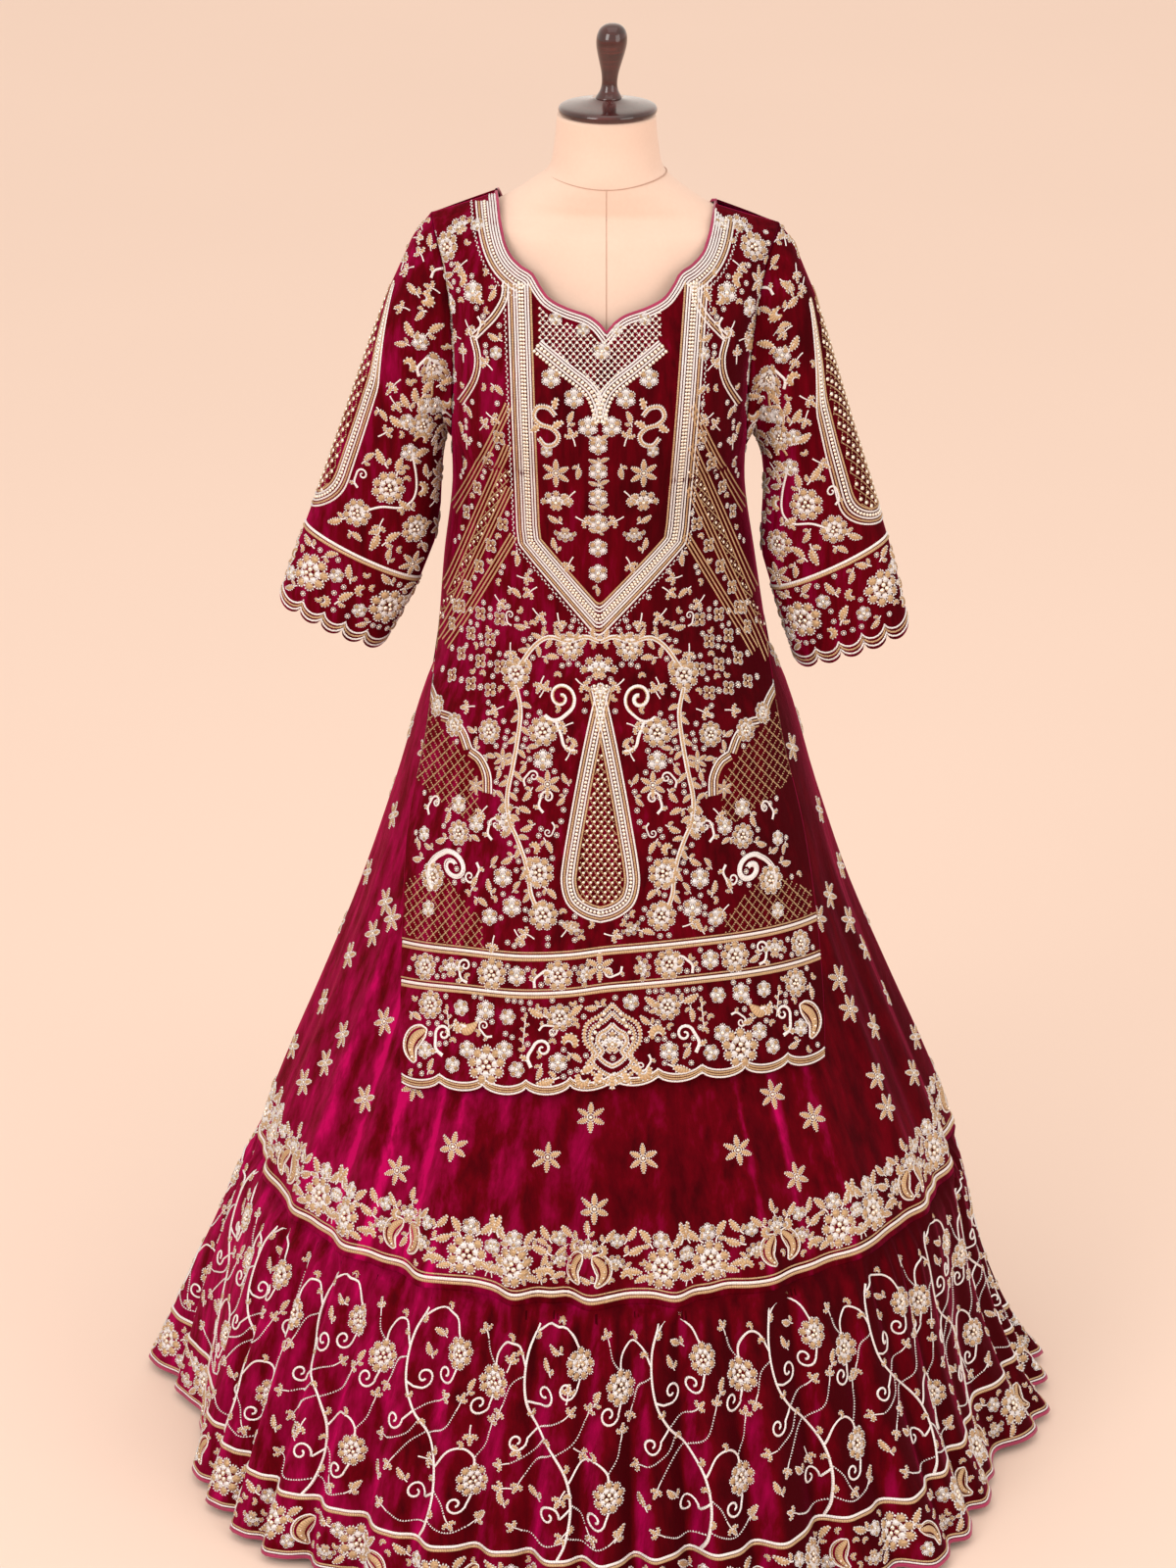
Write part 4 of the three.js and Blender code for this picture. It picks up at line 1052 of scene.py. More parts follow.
    def lattice(self, inside, box, gap=8.0, slope=1.0, size=1.7, dots=True, kind="gold"):
        """Crossed lines of beads over the part of a box (u, v, u, v) where inside(u, v) holds."""
        u0, v0, u1, v1 = box
        for sign in (-1, 1):
            reach = (v1 - v0) / slope + (u1 - u0)
            for k in range(int(2 * reach / gap) + 1):
                start = (u0 if sign > 0 else u1) + sign * (-reach + k * gap)
                v = np.arange(v0, v1, size * 0.9)
                u = start + sign * (v - v0) / slope
                keep = (u >= u0) & (u <= u1) & inside(u, v)
                if keep.sum():
                    self.put(f"{kind}_bead", u[keep], v[keep], 0, size, reach=1.5)
        if dots:
            rows, columns = np.meshgrid(np.arange(v0, v1, gap * slope / 2), np.arange(u0 - gap, u1 + gap, gap),
                indexing="ij")
            odd = (np.arange(rows.shape[0]) % 2)[:, None]
            u, v = (columns + odd * gap / 2).ravel(), rows.ravel()
            keep = (u >= u0) & (u <= u1) & inside(u, v)
            self.put("sequin", u[keep], v[keep], 0, gap * 0.22, reach=1.5)

    def fill(self, inside, box, kinds, axis=None, cell=2.5):
        """Small motifs, the larger ones first, wherever a box (u, v, u, v) is still bare and inside(u, v) holds."""
        low = np.array(box[:2], float)
        shape = ((np.array(box[2:]) - low) / cell).astype(int)
        a, b = np.meshgrid(np.arange(shape[0]), np.arange(shape[1]), indexing="ij")
        u, v = low[0] + (a + 0.5) * cell, low[1] + (b + 0.5) * cell
        bare = np.asarray(inside(u, v)).copy()
        for spots, _, _ in (part for parts in self.heap.values() for part in parts):
            at = np.floor((spots[:, :2] - low) / cell).astype(int)
            at = at[((at >= 0) & (at < shape)).all(1)]
            bare[at[:, 0], at[:, 1]] = False
        random = np.random.default_rng(7)
        for motif, room, size in kinds:
            near = int(room / cell)
            free = bare.copy()
            for _ in range(near):
                inner = free[1:-1, 1:-1] & free[2:, 1:-1] & free[:-2, 1:-1] & free[1:-1, 2:] & free[1:-1, :-2]
                free[:] = False
                free[1:-1, 1:-1] = inner
            order, places = np.argwhere(free), []
            random.shuffle(order)
            for i, j in order:
                if free[i, j]:
                    far = 2 * near
                    free[max(i - far, 0) : i + far + 1, max(j - far, 0) : j + far + 1] = False
                    bare[max(i - near, 0) : i + near + 1, max(j - near, 0) : j + near + 1] = False
                    places.append((u[i, j], v[i, j]))
            if places:
                x, y = np.array(places).T
                turn = random.uniform(-180, 180, len(x))
                if axis:
                    self.pair(motif, axis(y), x, y, turn, size)
                else:
                    self.put(motif, x, y, turn, size)

    def finish(self):
        """Makes one object for each kind of thread, on the surface and facing out from it."""
        made = []
        for kind, parts in self.heap.items():
            if not parts:
                continue
            sizes = np.cumsum([0] + [len(p[0]) for p in parts[:-1]])
            spots = np.concatenate([p[0] for p in parts])
            faces = np.concatenate([p[1] + n for p, n in zip(parts, sizes)])
            tone = np.concatenate([p[2] for p in parts])
            u, v, height = spots.T
            if self.limits:
                u, v = self.limits(u, v)
            here = self.surface(u, v)
            normal = unit(np.cross(self.surface(u + 0.5, v) - here, self.surface(u, v + 0.5) - here))
            points = here + normal * (height + OFF_CLOTH)[:, None]
            piece = mesh_object(f"{self.name}_{kind}", points, faces, finish_of(FINISHES[kind]), nap=tone)
            made.append(piece)
        return made


def leafy(path, gap=11.0, size=0.75, first=4.0):
    """Leaves to both sides of a stem in turn: places, directions and sizes."""
    path = np.asarray(path, float)
    along = run_of(path)
    at = np.arange(first, along[-1] - 2, gap)
    spots = np.stack([np.interp(at, along, c) for c in path.T], -1)
    ahead = np.stack([np.interp(at + 1, along, c) for c in path.T], -1)
    direction = np.degrees(np.arctan2(*(ahead - spots).T[::-1])) - 90
    side = np.where(np.arange(len(at)) % 2, 1, -1)
    turn = direction + side * 52
    t = np.radians(turn + 90)
    return spots[:, 0] + 9 * size * np.cos(t), spots[:, 1] + 9 * size * np.sin(t), turn, size


# ---- the garment's shells
def painted_sheen_of(points, closed=False, flip=False, lift=0.0, gain=0.24):
    """How much painted sheen the velvet gets, with painted shade where it gets little: more on faces turned to the
    left, the front and up, towards the key light.
    """
    normals = grid_normals(points, closed) * (-1 if flip else 1)
    return 0.2 + lift - gain * normals[..., 0] - 0.06 * normals[..., 1] + 0.1 * normals[..., 2]


def scallop(share, depth):
    """Rounded lobes that meet in cusps at whole numbers of share."""
    return depth * (1 - np.sqrt(np.abs(np.sin(np.pi * share))))


def edge_z(line, x):
    """Height of an edge that is given by x."""
    return through(line, "z", x, key="x")


def hem_line(x):
    """The kurti's hem without its scallops."""
    return edge_z(HEM_LINE, x)


def hem_z(x, drop=0.0):
    """The scalloped lower edge of a kurti panel."""
    share = (x - HEM_FROM_X) / (HEM_TO_X - HEM_FROM_X) * HEM_SCALLOPS
    return hem_line(x) - drop + scallop(share, SCALLOP_DEPTH)


def panel_top(scoop, x):
    """Upper edge of a kurti panel: the neckline, then the shoulder."""
    inner = np.abs(x)
    return np.where(inner < NECK_X, np.minimum(edge_z(scoop, inner), ridge_z(x)), ridge_z(x))


def panel_grid(scoop, drop, rows, dense=True):
    """Places (x, z) over a kurti panel, from its upper edge to its scalloped hem."""
    lobes = HEM_FROM_X + (HEM_TO_X - HEM_FROM_X) * np.arange(2, 97, 1 if dense else 2) / 100
    low_z = hem_z(lobes, drop)
    across = (lobes - through(KURTI, "lean", low_z)) / through(KURTI, "half", low_z)
    neck = np.array([99, 106, 110, 113, 115.5, 117.5, 119, 120, 120.6, 122, 125]) / 190
    edges = np.array([0.965, 0.985, 0.995, 1.0])
    across = np.unique(np.round(joined(across[np.abs(across) < 0.95], neck, -neck, edges, -edges), 4))
    across = across[joined([True], np.diff(across) > 0.0018)]
    across[0], across[-1] = -1, 1
    z_top = np.full_like(across, 1450.0)
    for _ in range(30):
        x_top = side_x(z_top, across)
        z_top = 0.5 * z_top + 0.5 * panel_top(scoop, x_top)
    z_low = np.full_like(across, 550.0)
    for _ in range(12):
        z_low = hem_z(side_x(z_low, across), drop)
    share = np.linspace(0, 1, rows)[:, None]
    share = 1.25 * share**2 / (share + 0.25)
    z = mix(z_top[None], z_low[None], share)
    return side_x(z, across[None]), z


def sleeve_grid(columns=50, rows=46):
    """Places (turn, down) over a sleeve, to its scalloped cuff."""
    level = np.arange(1, columns) / columns * 2 - 1
    ends = np.array([0.9965, 0.985])
    front = np.arccos(-np.unique(joined([-1, 1], level, ends, -ends)))[::-1]
    turn = joined(front, 2 * np.pi - front[-2:0:-1])
    lobes = scallop((np.cos(turn) + 1) / 2 * CUFF_SCALLOPS, 0.0155)
    down = np.linspace(0, 1, rows)[:, None] * (1 - lobes)[None]
    return np.broadcast_to(turn[None], down.shape), down


def make_skirt(thick):
    turn = circle(SKIRT_COLUMNS)[None]
    z = np.linspace(SKIRT_TOP_Z, SKIRT_SEAM_Z, 30)[:, None]
    points = skirt_point(turn, z)
    # Painted highlight: the velvet's base colour is brightened in long streaks down the left of the front and, more
    # weakly, down the right, fading out towards the top.
    away = (np.degrees(turn) + 180) % 360 - 180
    painted_highlight_streaks = 0.5 + 0.5 * ripple(np.degrees(turn), 5, 9.0)
    where = np.exp(-(((away + 44) / 20) ** 2)) + 0.6 * np.exp(-(((away - 40) / 18) ** 2))
    painted_sheen_and_tone = 1.05 * where * painted_highlight_streaks**3 * smooth_step(980, 760, z)
    nap = painted_sheen_of(points, True, True) + painted_sheen_and_tone
    skirt = cloth("skirt_velvet", points, thick, finish_of("wine_velvet"), True, True, nap)
    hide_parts(*[f"skirt_gore_{i}" for i in range(1, GORES + 1)])
    z = np.linspace(BAND_TOP_Z, SKIRT_TOP_Z - 2, 3)[:, None]
    radius = oval_radius(SKIRT, turn, z) + 1.2
    points = on_circle(radius, turn, z)
    # The waistband gets painted sheen and painted shade by facing.
    band = cloth("waistband_velvet", points, 2.0, finish_of("wine_velvet"), True, True, painted_sheen_of(points, True, True))
    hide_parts("waistband")
    return skirt, band


def make_flounce(thick):
    turn = circle(FLOUNCE_COLUMNS)[None]
    z = mix(SKIRT_SEAM_Z + 1, HEM_Z + 4.0, np.linspace(0, 1, 22)[:, None] ** 0.9)
    points = flounce_point(turn, z)
    # The flounce's folds get a stronger painted sheen and painted shade by facing.
    flounce = cloth("flounce_velvet", points, thick, finish_of("wine_velvet"), True, True,
        painted_sheen_of(points, True, True, 0, 0.42))
    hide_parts(*[f"flounce_{i}" for i in range(1, GORES + 1)])
    turn = turn[0]
    hem = on_circle(flounce_radius(turn, HEM_Z + 4.0) - thick / 2, turn, HEM_Z + 3.2)
    piping = tube("flounce_piping", hem, 2.6, finish_of("magenta_satin"), 6, True)
    return flounce, piping


def make_kurti(thick):
    made = []
    for name, scoop, drop, surface, rows in (("kurti_front_velvet", NECK_SCOOP, 0, front_point, 96),
            ("kurti_back_velvet", BACK_SCOOP, BACK_HEM_DROP, back_point, 64)):
        back = surface is back_point
        x, z = panel_grid(scoop, drop, rows, not back)
        points = surface(x, z)
        # Painted sheen and painted shade by facing, a little less of it on the kurti.
        nap = painted_sheen_of(points, flip=not back, lift=-0.06)
        panel = cloth(name, points, thick, finish_of("kurti_velvet"), False, not back, nap)
        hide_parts("kurti_back" if back else "kurti_front")
        edge = points[0][np.abs(x[0]) < 121.5]
        facing = tube(f"{name[:-7]}_neck_facing", edge, 1.7, finish_of("magenta_satin"), 6)
        made += [panel, facing]
    return made


def make_sleeve(name, rows, side, thick):
    turn, down = sleeve_grid()
    points = sleeve_point(rows, side, turn, down)
    flip = side > 0
    # Painted sheen and painted shade by facing.
    sleeve = cloth(f"{name}_velvet", points, thick, finish_of("kurti_velvet"), True, flip, painted_sheen_of(points, True, flip))
    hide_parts(name)
    return sleeve


def make_form():
    turn = circle(96)[None]
    z = joined(np.linspace(1592, 1530, 18), np.linspace(1527, 1460, 24), np.linspace(1452, 842, 44))
    points = on_circle(oval_radius(TORSO, turn, z[:, None]), turn, z[:, None])
    x = points[..., 0]
    drop = SHOULDER_TILT * x * smooth_step(1400, 1470, points[..., 2]) * smooth_step(1550, 1510, points[..., 2])
    points[..., 2] -= drop
    # Shallow seams down the centre front, the centre back and the sides.
    for seam in (0, np.pi / 2, np.pi, 3 * np.pi / 2):
        away = np.abs((turn - seam + np.pi) % (2 * np.pi) - np.pi) * 100
        points[..., :2] *= (1 - 0.006 * np.exp(-((away / 2.4) ** 2)))[..., None]
    rows, columns = points.shape[:2]
    vertices = joined(points.reshape(-1, 3), [[0, 0, 1593.0], [0, 0, 840.0]])
    a, b = grid_corners(rows, columns, True)
    walls = columns_of(a, a + columns, b + columns, b).reshape(-1, 4)
    top, low = np.arange(columns), np.arange(columns) + (rows - 1) * columns
    first, last = rows * columns, rows * columns + 1
    lids = joined(columns_of(top, np.roll(top, -1), np.full(columns, first)),
        columns_of(np.roll(low, -1), low, np.full(columns, last)))
    halves = joined(walls[:, [0, 1, 2]], walls[:, [0, 2, 3]], lids)
    torso = mesh_object("form_torso_cover", vertices, halves, finish_of("form_cover_cloth"))
    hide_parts("form_torso")
    # The neck's seam, low on the neck and dipping to the front.
    turn = circle(160)
    z = 1529 - 7 * np.cos(turn) ** 3
    path = on_circle(oval_radius(TORSO, turn, z) + 0.05, turn, z)
    seam = tube("form_neck_seam", path + (0, 0, 0.1), 0.6, finish_of("form_seam_thread"), 6, True)
    z = np.linspace(1521, 1330, 60)
    path = on_circle(oval_radius(TORSO, 0.0, z) - 0.25, 0.0, z)
    front = tube("form_front_seam", path, 0.42, finish_of("form_seam_thread"), 6)
    cap = [(0, 1592.4), (50, 1592.4), (52.6, 1593.2), (54, 1595.4), (54.2, 1598.2), (53.2, 1600.6)]
    cap += [(50.5, 1602.2), (44, 1603.6), (34, 1605.1), (24, 1606.8), (17.4, 1608.4), (15, 1609.4), (0, 1609.4)]
    knob = [(0, 1609.0), (14.2, 1609.2), (14.6, 1610.8), (12.6, 1613.6), (10, 1618), (8.6, 1624), (8.6, 1630)]
    knob += [(9.6, 1638), (11.9, 1647), (14.6, 1657), (16.6, 1666), (17.1, 1673), (16.2, 1680), (13.4, 1686)]
    knob += [(8.6, 1689.8), (3.6, 1691), (0, 1691)]
    for name, profile, x, lean, node in (("wood_neck_cap", cap, CAP_X, 0, "neck_cap"),
            ("wood_neck_knob", knob, CAP_X + 1, 0.05, "neck_knob"), ("steel_flange",
            [(0, 830.3), (58, 830.3), (60, 832), (60, 836), (58.4, 837.7), (0, 837.7)], 0, 0, "form_flange"),
            ("steel_base", [(0, 0), (193, 0), (195, 2), (195, 12), (192.5, 17), (186, 19.2), (90, 20), (40, 20.1),
            (0, 20.1)], 0, 0, "stand_base"), ("steel_pole", [(0, 20.1), (22, 20.1), (22, 34), (16, 40), (16, 829),
            (16, 830.2), (0, 830.2)], 0, 0, "stand_pole")):
        points, faces = turned(rounded(profile), x, lean)
        wood = name.startswith("wood")
        piece = mesh_object(name, points, faces, finish_of("lacquered_wood_grain" if wood else "satin_black_steel"))
        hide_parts(node)


# ---- where the motifs go
# Middle line of the front's embroidery, which leans with the panel.
FRONT_AXIS = table("z x", (540, 9), (640, 7), (740, -4), (1050, -7), (1400, -7))
# Half-width of the long drop down the middle of the front.
DROP = table("z half", (741, 0), (743.5, 12), (750, 26), (760, 37), (780, 43), (798, 42), (845, 34), (898, 24),
    (949, 13), (992, 2))
# The front's main flowers, set on a grid of 5 mm: x, z, turn in degrees and size. All are mirrored.
FRONT_PAIRS = {"rosette": [(-60, 1335, 0, 0.9), (-35, 1315, 0, 0.9), (-20, 1285, 0, 0.9), (-55, 1395, 0, 0.6),
    (-25, 1385, 0, 0.6), (-65, 1255, 0, 0.55), (-70, 910, 0, 0.95), (-115, 780, 0, 0.95), (-105, 750, 0, 0.95),
    (-130, 735, 0, 0.8), (-165, 845, 0, 0.85), (-145, 830, 0, 0.8), (-205, 800, 0, 0.7), (-200, 725, 0, 0.75),
    (-145, 1415, 0, 1), (-170, 1395, 0, 0.9), (-175, 1315, 0, 0.9), (-140, 1480, 0, 0.7), (-175, 1220, 0, 0.7),
    (-120, 1355, 0, 0.6)], "bloom": [(-40, 1030, 0, 0.9), (-100, 995, 0, 1), (-70, 940, 0, 0.95), (-75, 790, -30, 1),
    (-70, 745, 0, 0.95), (-130, 930, 0, 0.8), (-165, 815, 0, 0.8), (-195, 760, 0, 0.95), (-190, 935, 0, 0.7),
    (-170, 925, 0, 0.75), (-175, 1455, 20, 0.95), (-185, 1370, 0, 0.9), (-180, 1280, 0, 0.7)],
    "star": [(-55, 1230, 0, 0.95), (-65, 885, 0, 0.9), (-115, 905, 0, 0.7), (-145, 870, 0, 0.6), (-180, 1420, 0, 1)],
    "fan": [(-55, 1195, 0, 0.9), (-45, 1160, 180, 0.65), (-110, 840, 75, 1), (-35, 735, 150, 0.6),
    (-160, 1475, 30, 0.9)], "comma": [(-160, 1420, -20, 1.2), (-135, 1415, 160, 1), (-180, 1345, -30, 1.3),
    (-160, 1255, 0, 0.9), (-80, 810, 0, 1)], "curl": [(-140, 1390, 180, 0.85), (-90, 880, -20, 0.75),
    (-60, 845, 180, 0.6), (-105, 1045, 30, 0.6)]}
# The yoke's band, the heart under the neckline and the double curve beside the shoulder: x and z.
YOKE_LINE = [(-93, 1428), (-84, 1148), (-8, 1060), (76, 1148), (96, 1428)]
YOKE_HEART = [(-76, 1364), (-46, 1342), (-22, 1324), (-13, 1309), (-8, 1290)]
OGEE = [(-109, 1429), (-111, 1412), (-121, 1394), (-134, 1379), (-145, 1367)]
OGEE_LOWER = [(-145, 1367), (-140, 1346), (-144, 1322), (-160, 1290)]
# Slanting bands from the yoke to the side: upper end and lower end, x and z.
SLANTS = [((-106, 1302), (-171, 1151)), ((-107, 1256), (-183, 1054)), ((-106, 1205), (-198, 982)),
    ((-102, 1150), (-182, 996))]
SIDE_VINE = [(-100, 982), (-95, 958), (-98, 930), (-104, 897), (-110, 867), (-108, 842), (-100, 825), (-92, 806)]
SIDE_VINE += [(-86, 785), (-84, 768), (-77, 751)]
TOP_VINE = [(-8, 1036), (-23, 1041), (-42, 1035), (-63, 1038), (-80, 1026), (-98, 1000)]
CORNER_ARCS = [[(-226, 960), (-208, 958), (-194, 948), (-186, 933)],
    [(-186, 933), (-172, 934), (-158, 924), (-150, 908)], [(-150, 908), (-138, 902), (-129, 886), (-128, 866)]]

# Beside the middle of the hem: sideways, up from the hem's line, turn and size.
HEM_PAIRS = [("bird", -162, 62, 0, 1.25), ("rosette", -143, 86, 0, 0.9), ("bloom", -142, 30, 0, 1.25),
    ("rosette", -122, 47, 0, 0.85), ("rosette", -164, 44, 0, 0.8), ("twig", -184, 56, 6, 0.72),
    ("twig", -101, 54, -6, 0.72), ("curl", -192, 36, 20, 1.2), ("curl", -92, 30, -10, 1.2), ("bloom", -60, 80, 0, 0.86),
    ("leaf", -84, 86, 60, 1.1), ("leaf", -42, 84, -50, 1.0), ("rosette", -62, 34, 0, 0.9), ("comma", -44, 48, 40, 1.4),
    ("comma", -38, 20, -150, 1.3), ("leaf", -74, 16, 100, 1.2), ("paisley", -224, 26, 0, 1.15),
    ("bloom", -206, 86, 0, 0.9), ("rosette", -212, 40, 0, 0.8), ("fan", -30, 122, 80, 0.75),
    ("bloom", -62, 124, 0, 0.95), ("curl", -88, 112, -30, 0.95), ("rosette", -108, 124, 0, 0.9),
    ("bloom", -136, 124, 0, 1.0), ("curl", -164, 112, 30, 0.95), ("fan", -182, 124, 0, 0.85),
    ("bloom", -212, 124, 0, 0.85)]
HEM_FILL = (("rosette", 14, 0.75), ("curl", 10, 0.75), ("leaf", 8, 0.85), ("comma", 5.5, 0.62), ("dot", 3.6, 1.0))
MIDDLE_FILL = (("curl", 12.5, 0.9), ("sprig", 11, 0.9), ("leaf", 8.5, 0.85), ("comma", 6, 0.62), ("dot", 4.5, 1.0))


def front_limits(x, z):
    return np.clip(x, side_x(z, -1) + 1.2, side_x(z, 1) - 1.2), z


def rope(work, path, width=3.3, gap=3.7):
    """Two ropes side by side, of which one is gold."""
    work.cord(offset(path, gap / 2), width, "silver", 4.0)
    work.cord(offset(path, -gap / 2), width, "gold", 4.0)


def stitch_front(bead):
    work = Stitches("kurti_front_embroidery", front_point, front_limits)

    def axis(z):
        return through(FRONT_AXIS, "x", z)

    def both(stitch, path, *settings, **named):
        path = np.asarray(path, float)
        stitch(path, *settings, **named)
        mirrored = path.copy()
        mirrored[:, 0] = 2 * axis(path[:, 1]) - path[:, 0]
        stitch(mirrored[::-1], *settings, **named)

    for motif, rows in FRONT_PAIRS.items():
        x, z, turn, size = np.array(rows, float).T
        work.put(motif, x, z, turn, size)
        other = 2 * axis(z) - x
        level = np.where(z < 724, hem_line(other) - hem_line(x), 0)
        work.put(motif, other, z + level, -turn, size, True)
    # Small four-petalled flowers in slanting rows beside the yoke, and staggered rows with buds below them.
    for first_x, first_z, step_x, step_z, count in ((-117, 1263, 12.7, 34.7, 4), (-114, 1160, 13.5, 28.3, 5)):
        k = np.arange(count)
        work.pair("quad", -7, first_x - step_x * k, first_z - step_z * k)
    for row in range(4):
        x = -118 - 22 * np.arange(3) - 11 * (row % 2)
        work.pair("quad", -7, x, 1050 - 26 * row)
        work.pair("dot", -7, x - 11, 1050 - 26 * row, 0, 1.2)
    # Down the middle: a column of rosettes, then the flower over the drop, and the hem's medallion.
    work.put("rosette", -9, 1264 - 30 * np.arange(6), 0, 0.86)
    for motif, x, z, turn, size in (("rosette", -5, 1363, 0, 0.78), ("leaf", -10, 1094, 180, 0.6),
            ("fan", -8, 1006, 0, 1.08), ("star", -7, 693, 0, 0.98), ("medallion", 7, 611, 0, 1.5)):
        work.put(motif, x, z, turn, size)

    # Neckline: three close rows all round, and a wide band beside the neck.
    x = np.linspace(-120.5, 120.5, 161)
    x = NECK_X * np.sign(x) * (np.abs(x) / 120.5) ** 0.8
    neck = columns_of(x, np.minimum(edge_z(NECK_SCOOP, np.abs(x)), ridge_z(x) - 1))
    for by in (2.4, 5.4, 8.4):
        work.beads(offset(neck, -by), bead)
    for side in (-1, 1):
        part = neck[(neck[:, 0] * side > 76)]
        part = part[part[:, 1] < ridge_z(part[:, 0]) - 1.5]
        for by, kind in ((11.4, "silver"), (18.0, "silver"), (21.0, "gold"), (24.0, "silver")):
            work.beads(offset(part, -by), bead, kind)
        work.sequins(offset(part, -14.7), 1.9)
        work.lobes(offset(part, -27.4), 2.8, -1)
    # The heart under the neckline.
    heart = smooth_path(YOKE_HEART, 6)
    for by in (9.5, 6.6, -0.2):
        both(work.beads, offset(heart, by), bead)
    both(work.sequins, offset(heart, 3.2), 2.3)
    both(work.sequins, offset(heart, -3.8), 2.2)

    def in_heart(u, v):
        inner = np.abs(u + 7)
        low = np.interp(inner, [1, 6, 15, 39, 69], [1290, 1309, 1324, 1342, 1364]) + 13
        return (v < edge_z(NECK_SCOOP, inner) - 12) & (v > low) & (inner < 66)

    work.lattice(in_heart, (-76, 1290, 64, 1410), 7.4, 1.0, 1.8, True, "silver")
    # The yoke's band: rows of beads on both sides of a bright row of sequins.
    yoke = np.array(YOKE_LINE, float)
    for by, kind in ((4.6, "silver"), (7.6, "silver"), (10.6, "gold"), (-4.6, "silver"), (-7.6, "silver")):
        work.beads(offset(yoke, by), bead, kind)
    for by, kind in ((-10.6, "gold"), (-13.6, "silver")):
        work.beads(offset(yoke, by), bead, kind)
    for by in (-1.5, 1.5):
        work.sequins(offset(yoke, by), 1.9)
    work.lobes(offset(yoke, -16.0), 3.0, -1)
    work.pair("scroll", -8, -60, 1262, 14, 1.3)
    for z in (1262, 1236, 1210, 1182, 1155):
        for turn in (68, -68):
            work.put("leaf", -8 + (5 if turn < 0 else -5), z + 10, turn, 0.62)

    for line in (OGEE, OGEE_LOWER):
        line = smooth_path(line, 6)
        for by in (-3.0, 0.0, 3.0):
            both(work.beads, offset(line, by), bead, kind="silver" if by else "gold")
    for high, low in SLANTS:
        for by in (-3.7, 0, 3.7):
            both(work.cord, offset(np.array([high, low], float), by), 2.0, "gold", 4.0)

    def between(first, second):
        def inside(u, v):
            u = -np.abs(u + 7) - 7
            edges = [a[0] + (v - a[1]) * (b[0] - a[0]) / (b[1] - a[1]) for a, b in (first, second)]
            return (u > edges[0] + 5) & (u < edges[1] - 5)

        return inside

    strip = between(SLANTS[1], SLANTS[2])
    work.lattice(strip, (-196, 1010, -104, 1226), 9.0, 1.4, 1.8, True)
    work.lattice(strip, (90, 1010, 182, 1226), 9.0, 1.4, 1.8, True)

    # The long drop.
    z = DROP["z"][0] + (DROP["z"][-1] - DROP["z"][0]) * (0.5 - 0.5 * np.cos(np.linspace(0, np.pi, 60)))
    half = through(DROP, "half", z)
    outline = joined(columns_of(-half, z), columns_of(half, z)[::-1])
    for inset, kind in ((0, "silver"), (3.0, "gold"), (6.0, "silver"), (12.6, "silver"), (15.6, "gold")):
        work.beads(shrunk(outline, inset) + (axis(850), 0), bead, kind)
    work.sequins(shrunk(outline, 9.3) + (axis(850), 0), 2.0)

    def in_drop(u, v):
        return (np.abs(u - axis(850)) < through(DROP, "half", v) - 18) & (v > 760)

    work.lattice(in_drop, (-45, 758, 33, 940), 8.0, 1.25, 1.7, True)

    # Vines, curls and the corners' lattices.
    for vine, width, gap in ((SIDE_VINE, 3.4, 12), (TOP_VINE, 3.0, 10)):
        vine = smooth_path(vine, 5)
        both(work.cord, vine, width, "gold", 3.0)
        for by in (-1.5, 1.5):
            both(work.beads, offset(vine, by), 2.0)
        x, z, turn, size = leafy(vine, gap)
        work.pair("leaf", axis(z), x, z, turn, size)
    curl_path = spiral(-50, 976, 17, -62, 520, 0.16, 40)
    tail = smooth_path([(-68, 956), (-60, 952), (-51, 954), (-42, 961)], 4)
    both(work.cord, smooth_path([(-56, 952), (-50, 938), (-46, 926), (-34, 922)], 4), 3.4, "silver", 2.6)
    both(work.cord, joined(tail, curl_path), 4.6, "silver", 2.6, taper=0.6)
    both(work.beads, offset(curl_path, 1.0), 1.8, "gold")
    for arc in CORNER_ARCS:
        arc = smooth_path(arc, 6)
        for by, kind in ((0, "silver"), (-3.0, "gold"), (-6.0, "silver"), (-9.2, "gold")):
            both(work.beads, offset(arc, by), bead, kind)

    def in_corner(u, v):
        inner = np.abs(u - axis(v)) + 4
        top = np.interp(inner, [128, 150, 186, 226], [868, 896, 922, 946])
        return (v < top - 2) & (v > 822 + (inner - 128) * 0.35) & (inner > 140)

    def in_foot(u, v):
        inner = np.abs(u - axis(v)) + 4
        return (v < 775 - np.abs(inner - 190) * 0.9) & (v > hem_line(u) + 150) & (inner > 140)

    for inside, low, high in ((in_corner, 820, 940), (in_foot, 690, 776)):
        work.lattice(inside, (-228, low, -132, high), 9.5, 1.25, 1.8, False)
        work.lattice(inside, (124, low, 234, high), 9.5, 1.25, 1.8, False)

    # A hooked paisley stands over each foot lattice.
    hook = spiral(-172, 778, 15, 120, -430, 0.24, 30)
    hook = joined(smooth_path([(-196, 746), (-200, 764), (-192, 780), hook[0]], 4)[:-1], hook)
    both(work.cord, hook, 6.2, "silver", 2.2, taper=0.5)
    both(work.beads, offset(hook, 2.6), 1.7)
    for motif, dx, up, turn, size in HEM_PAIRS:
        x = axis(600) + np.array([dx, -dx])
        for k, side in enumerate((-1, 1)):
            work.put(motif, x[k], hem_line(x[k]) + up, -turn * side, size, side > 0)
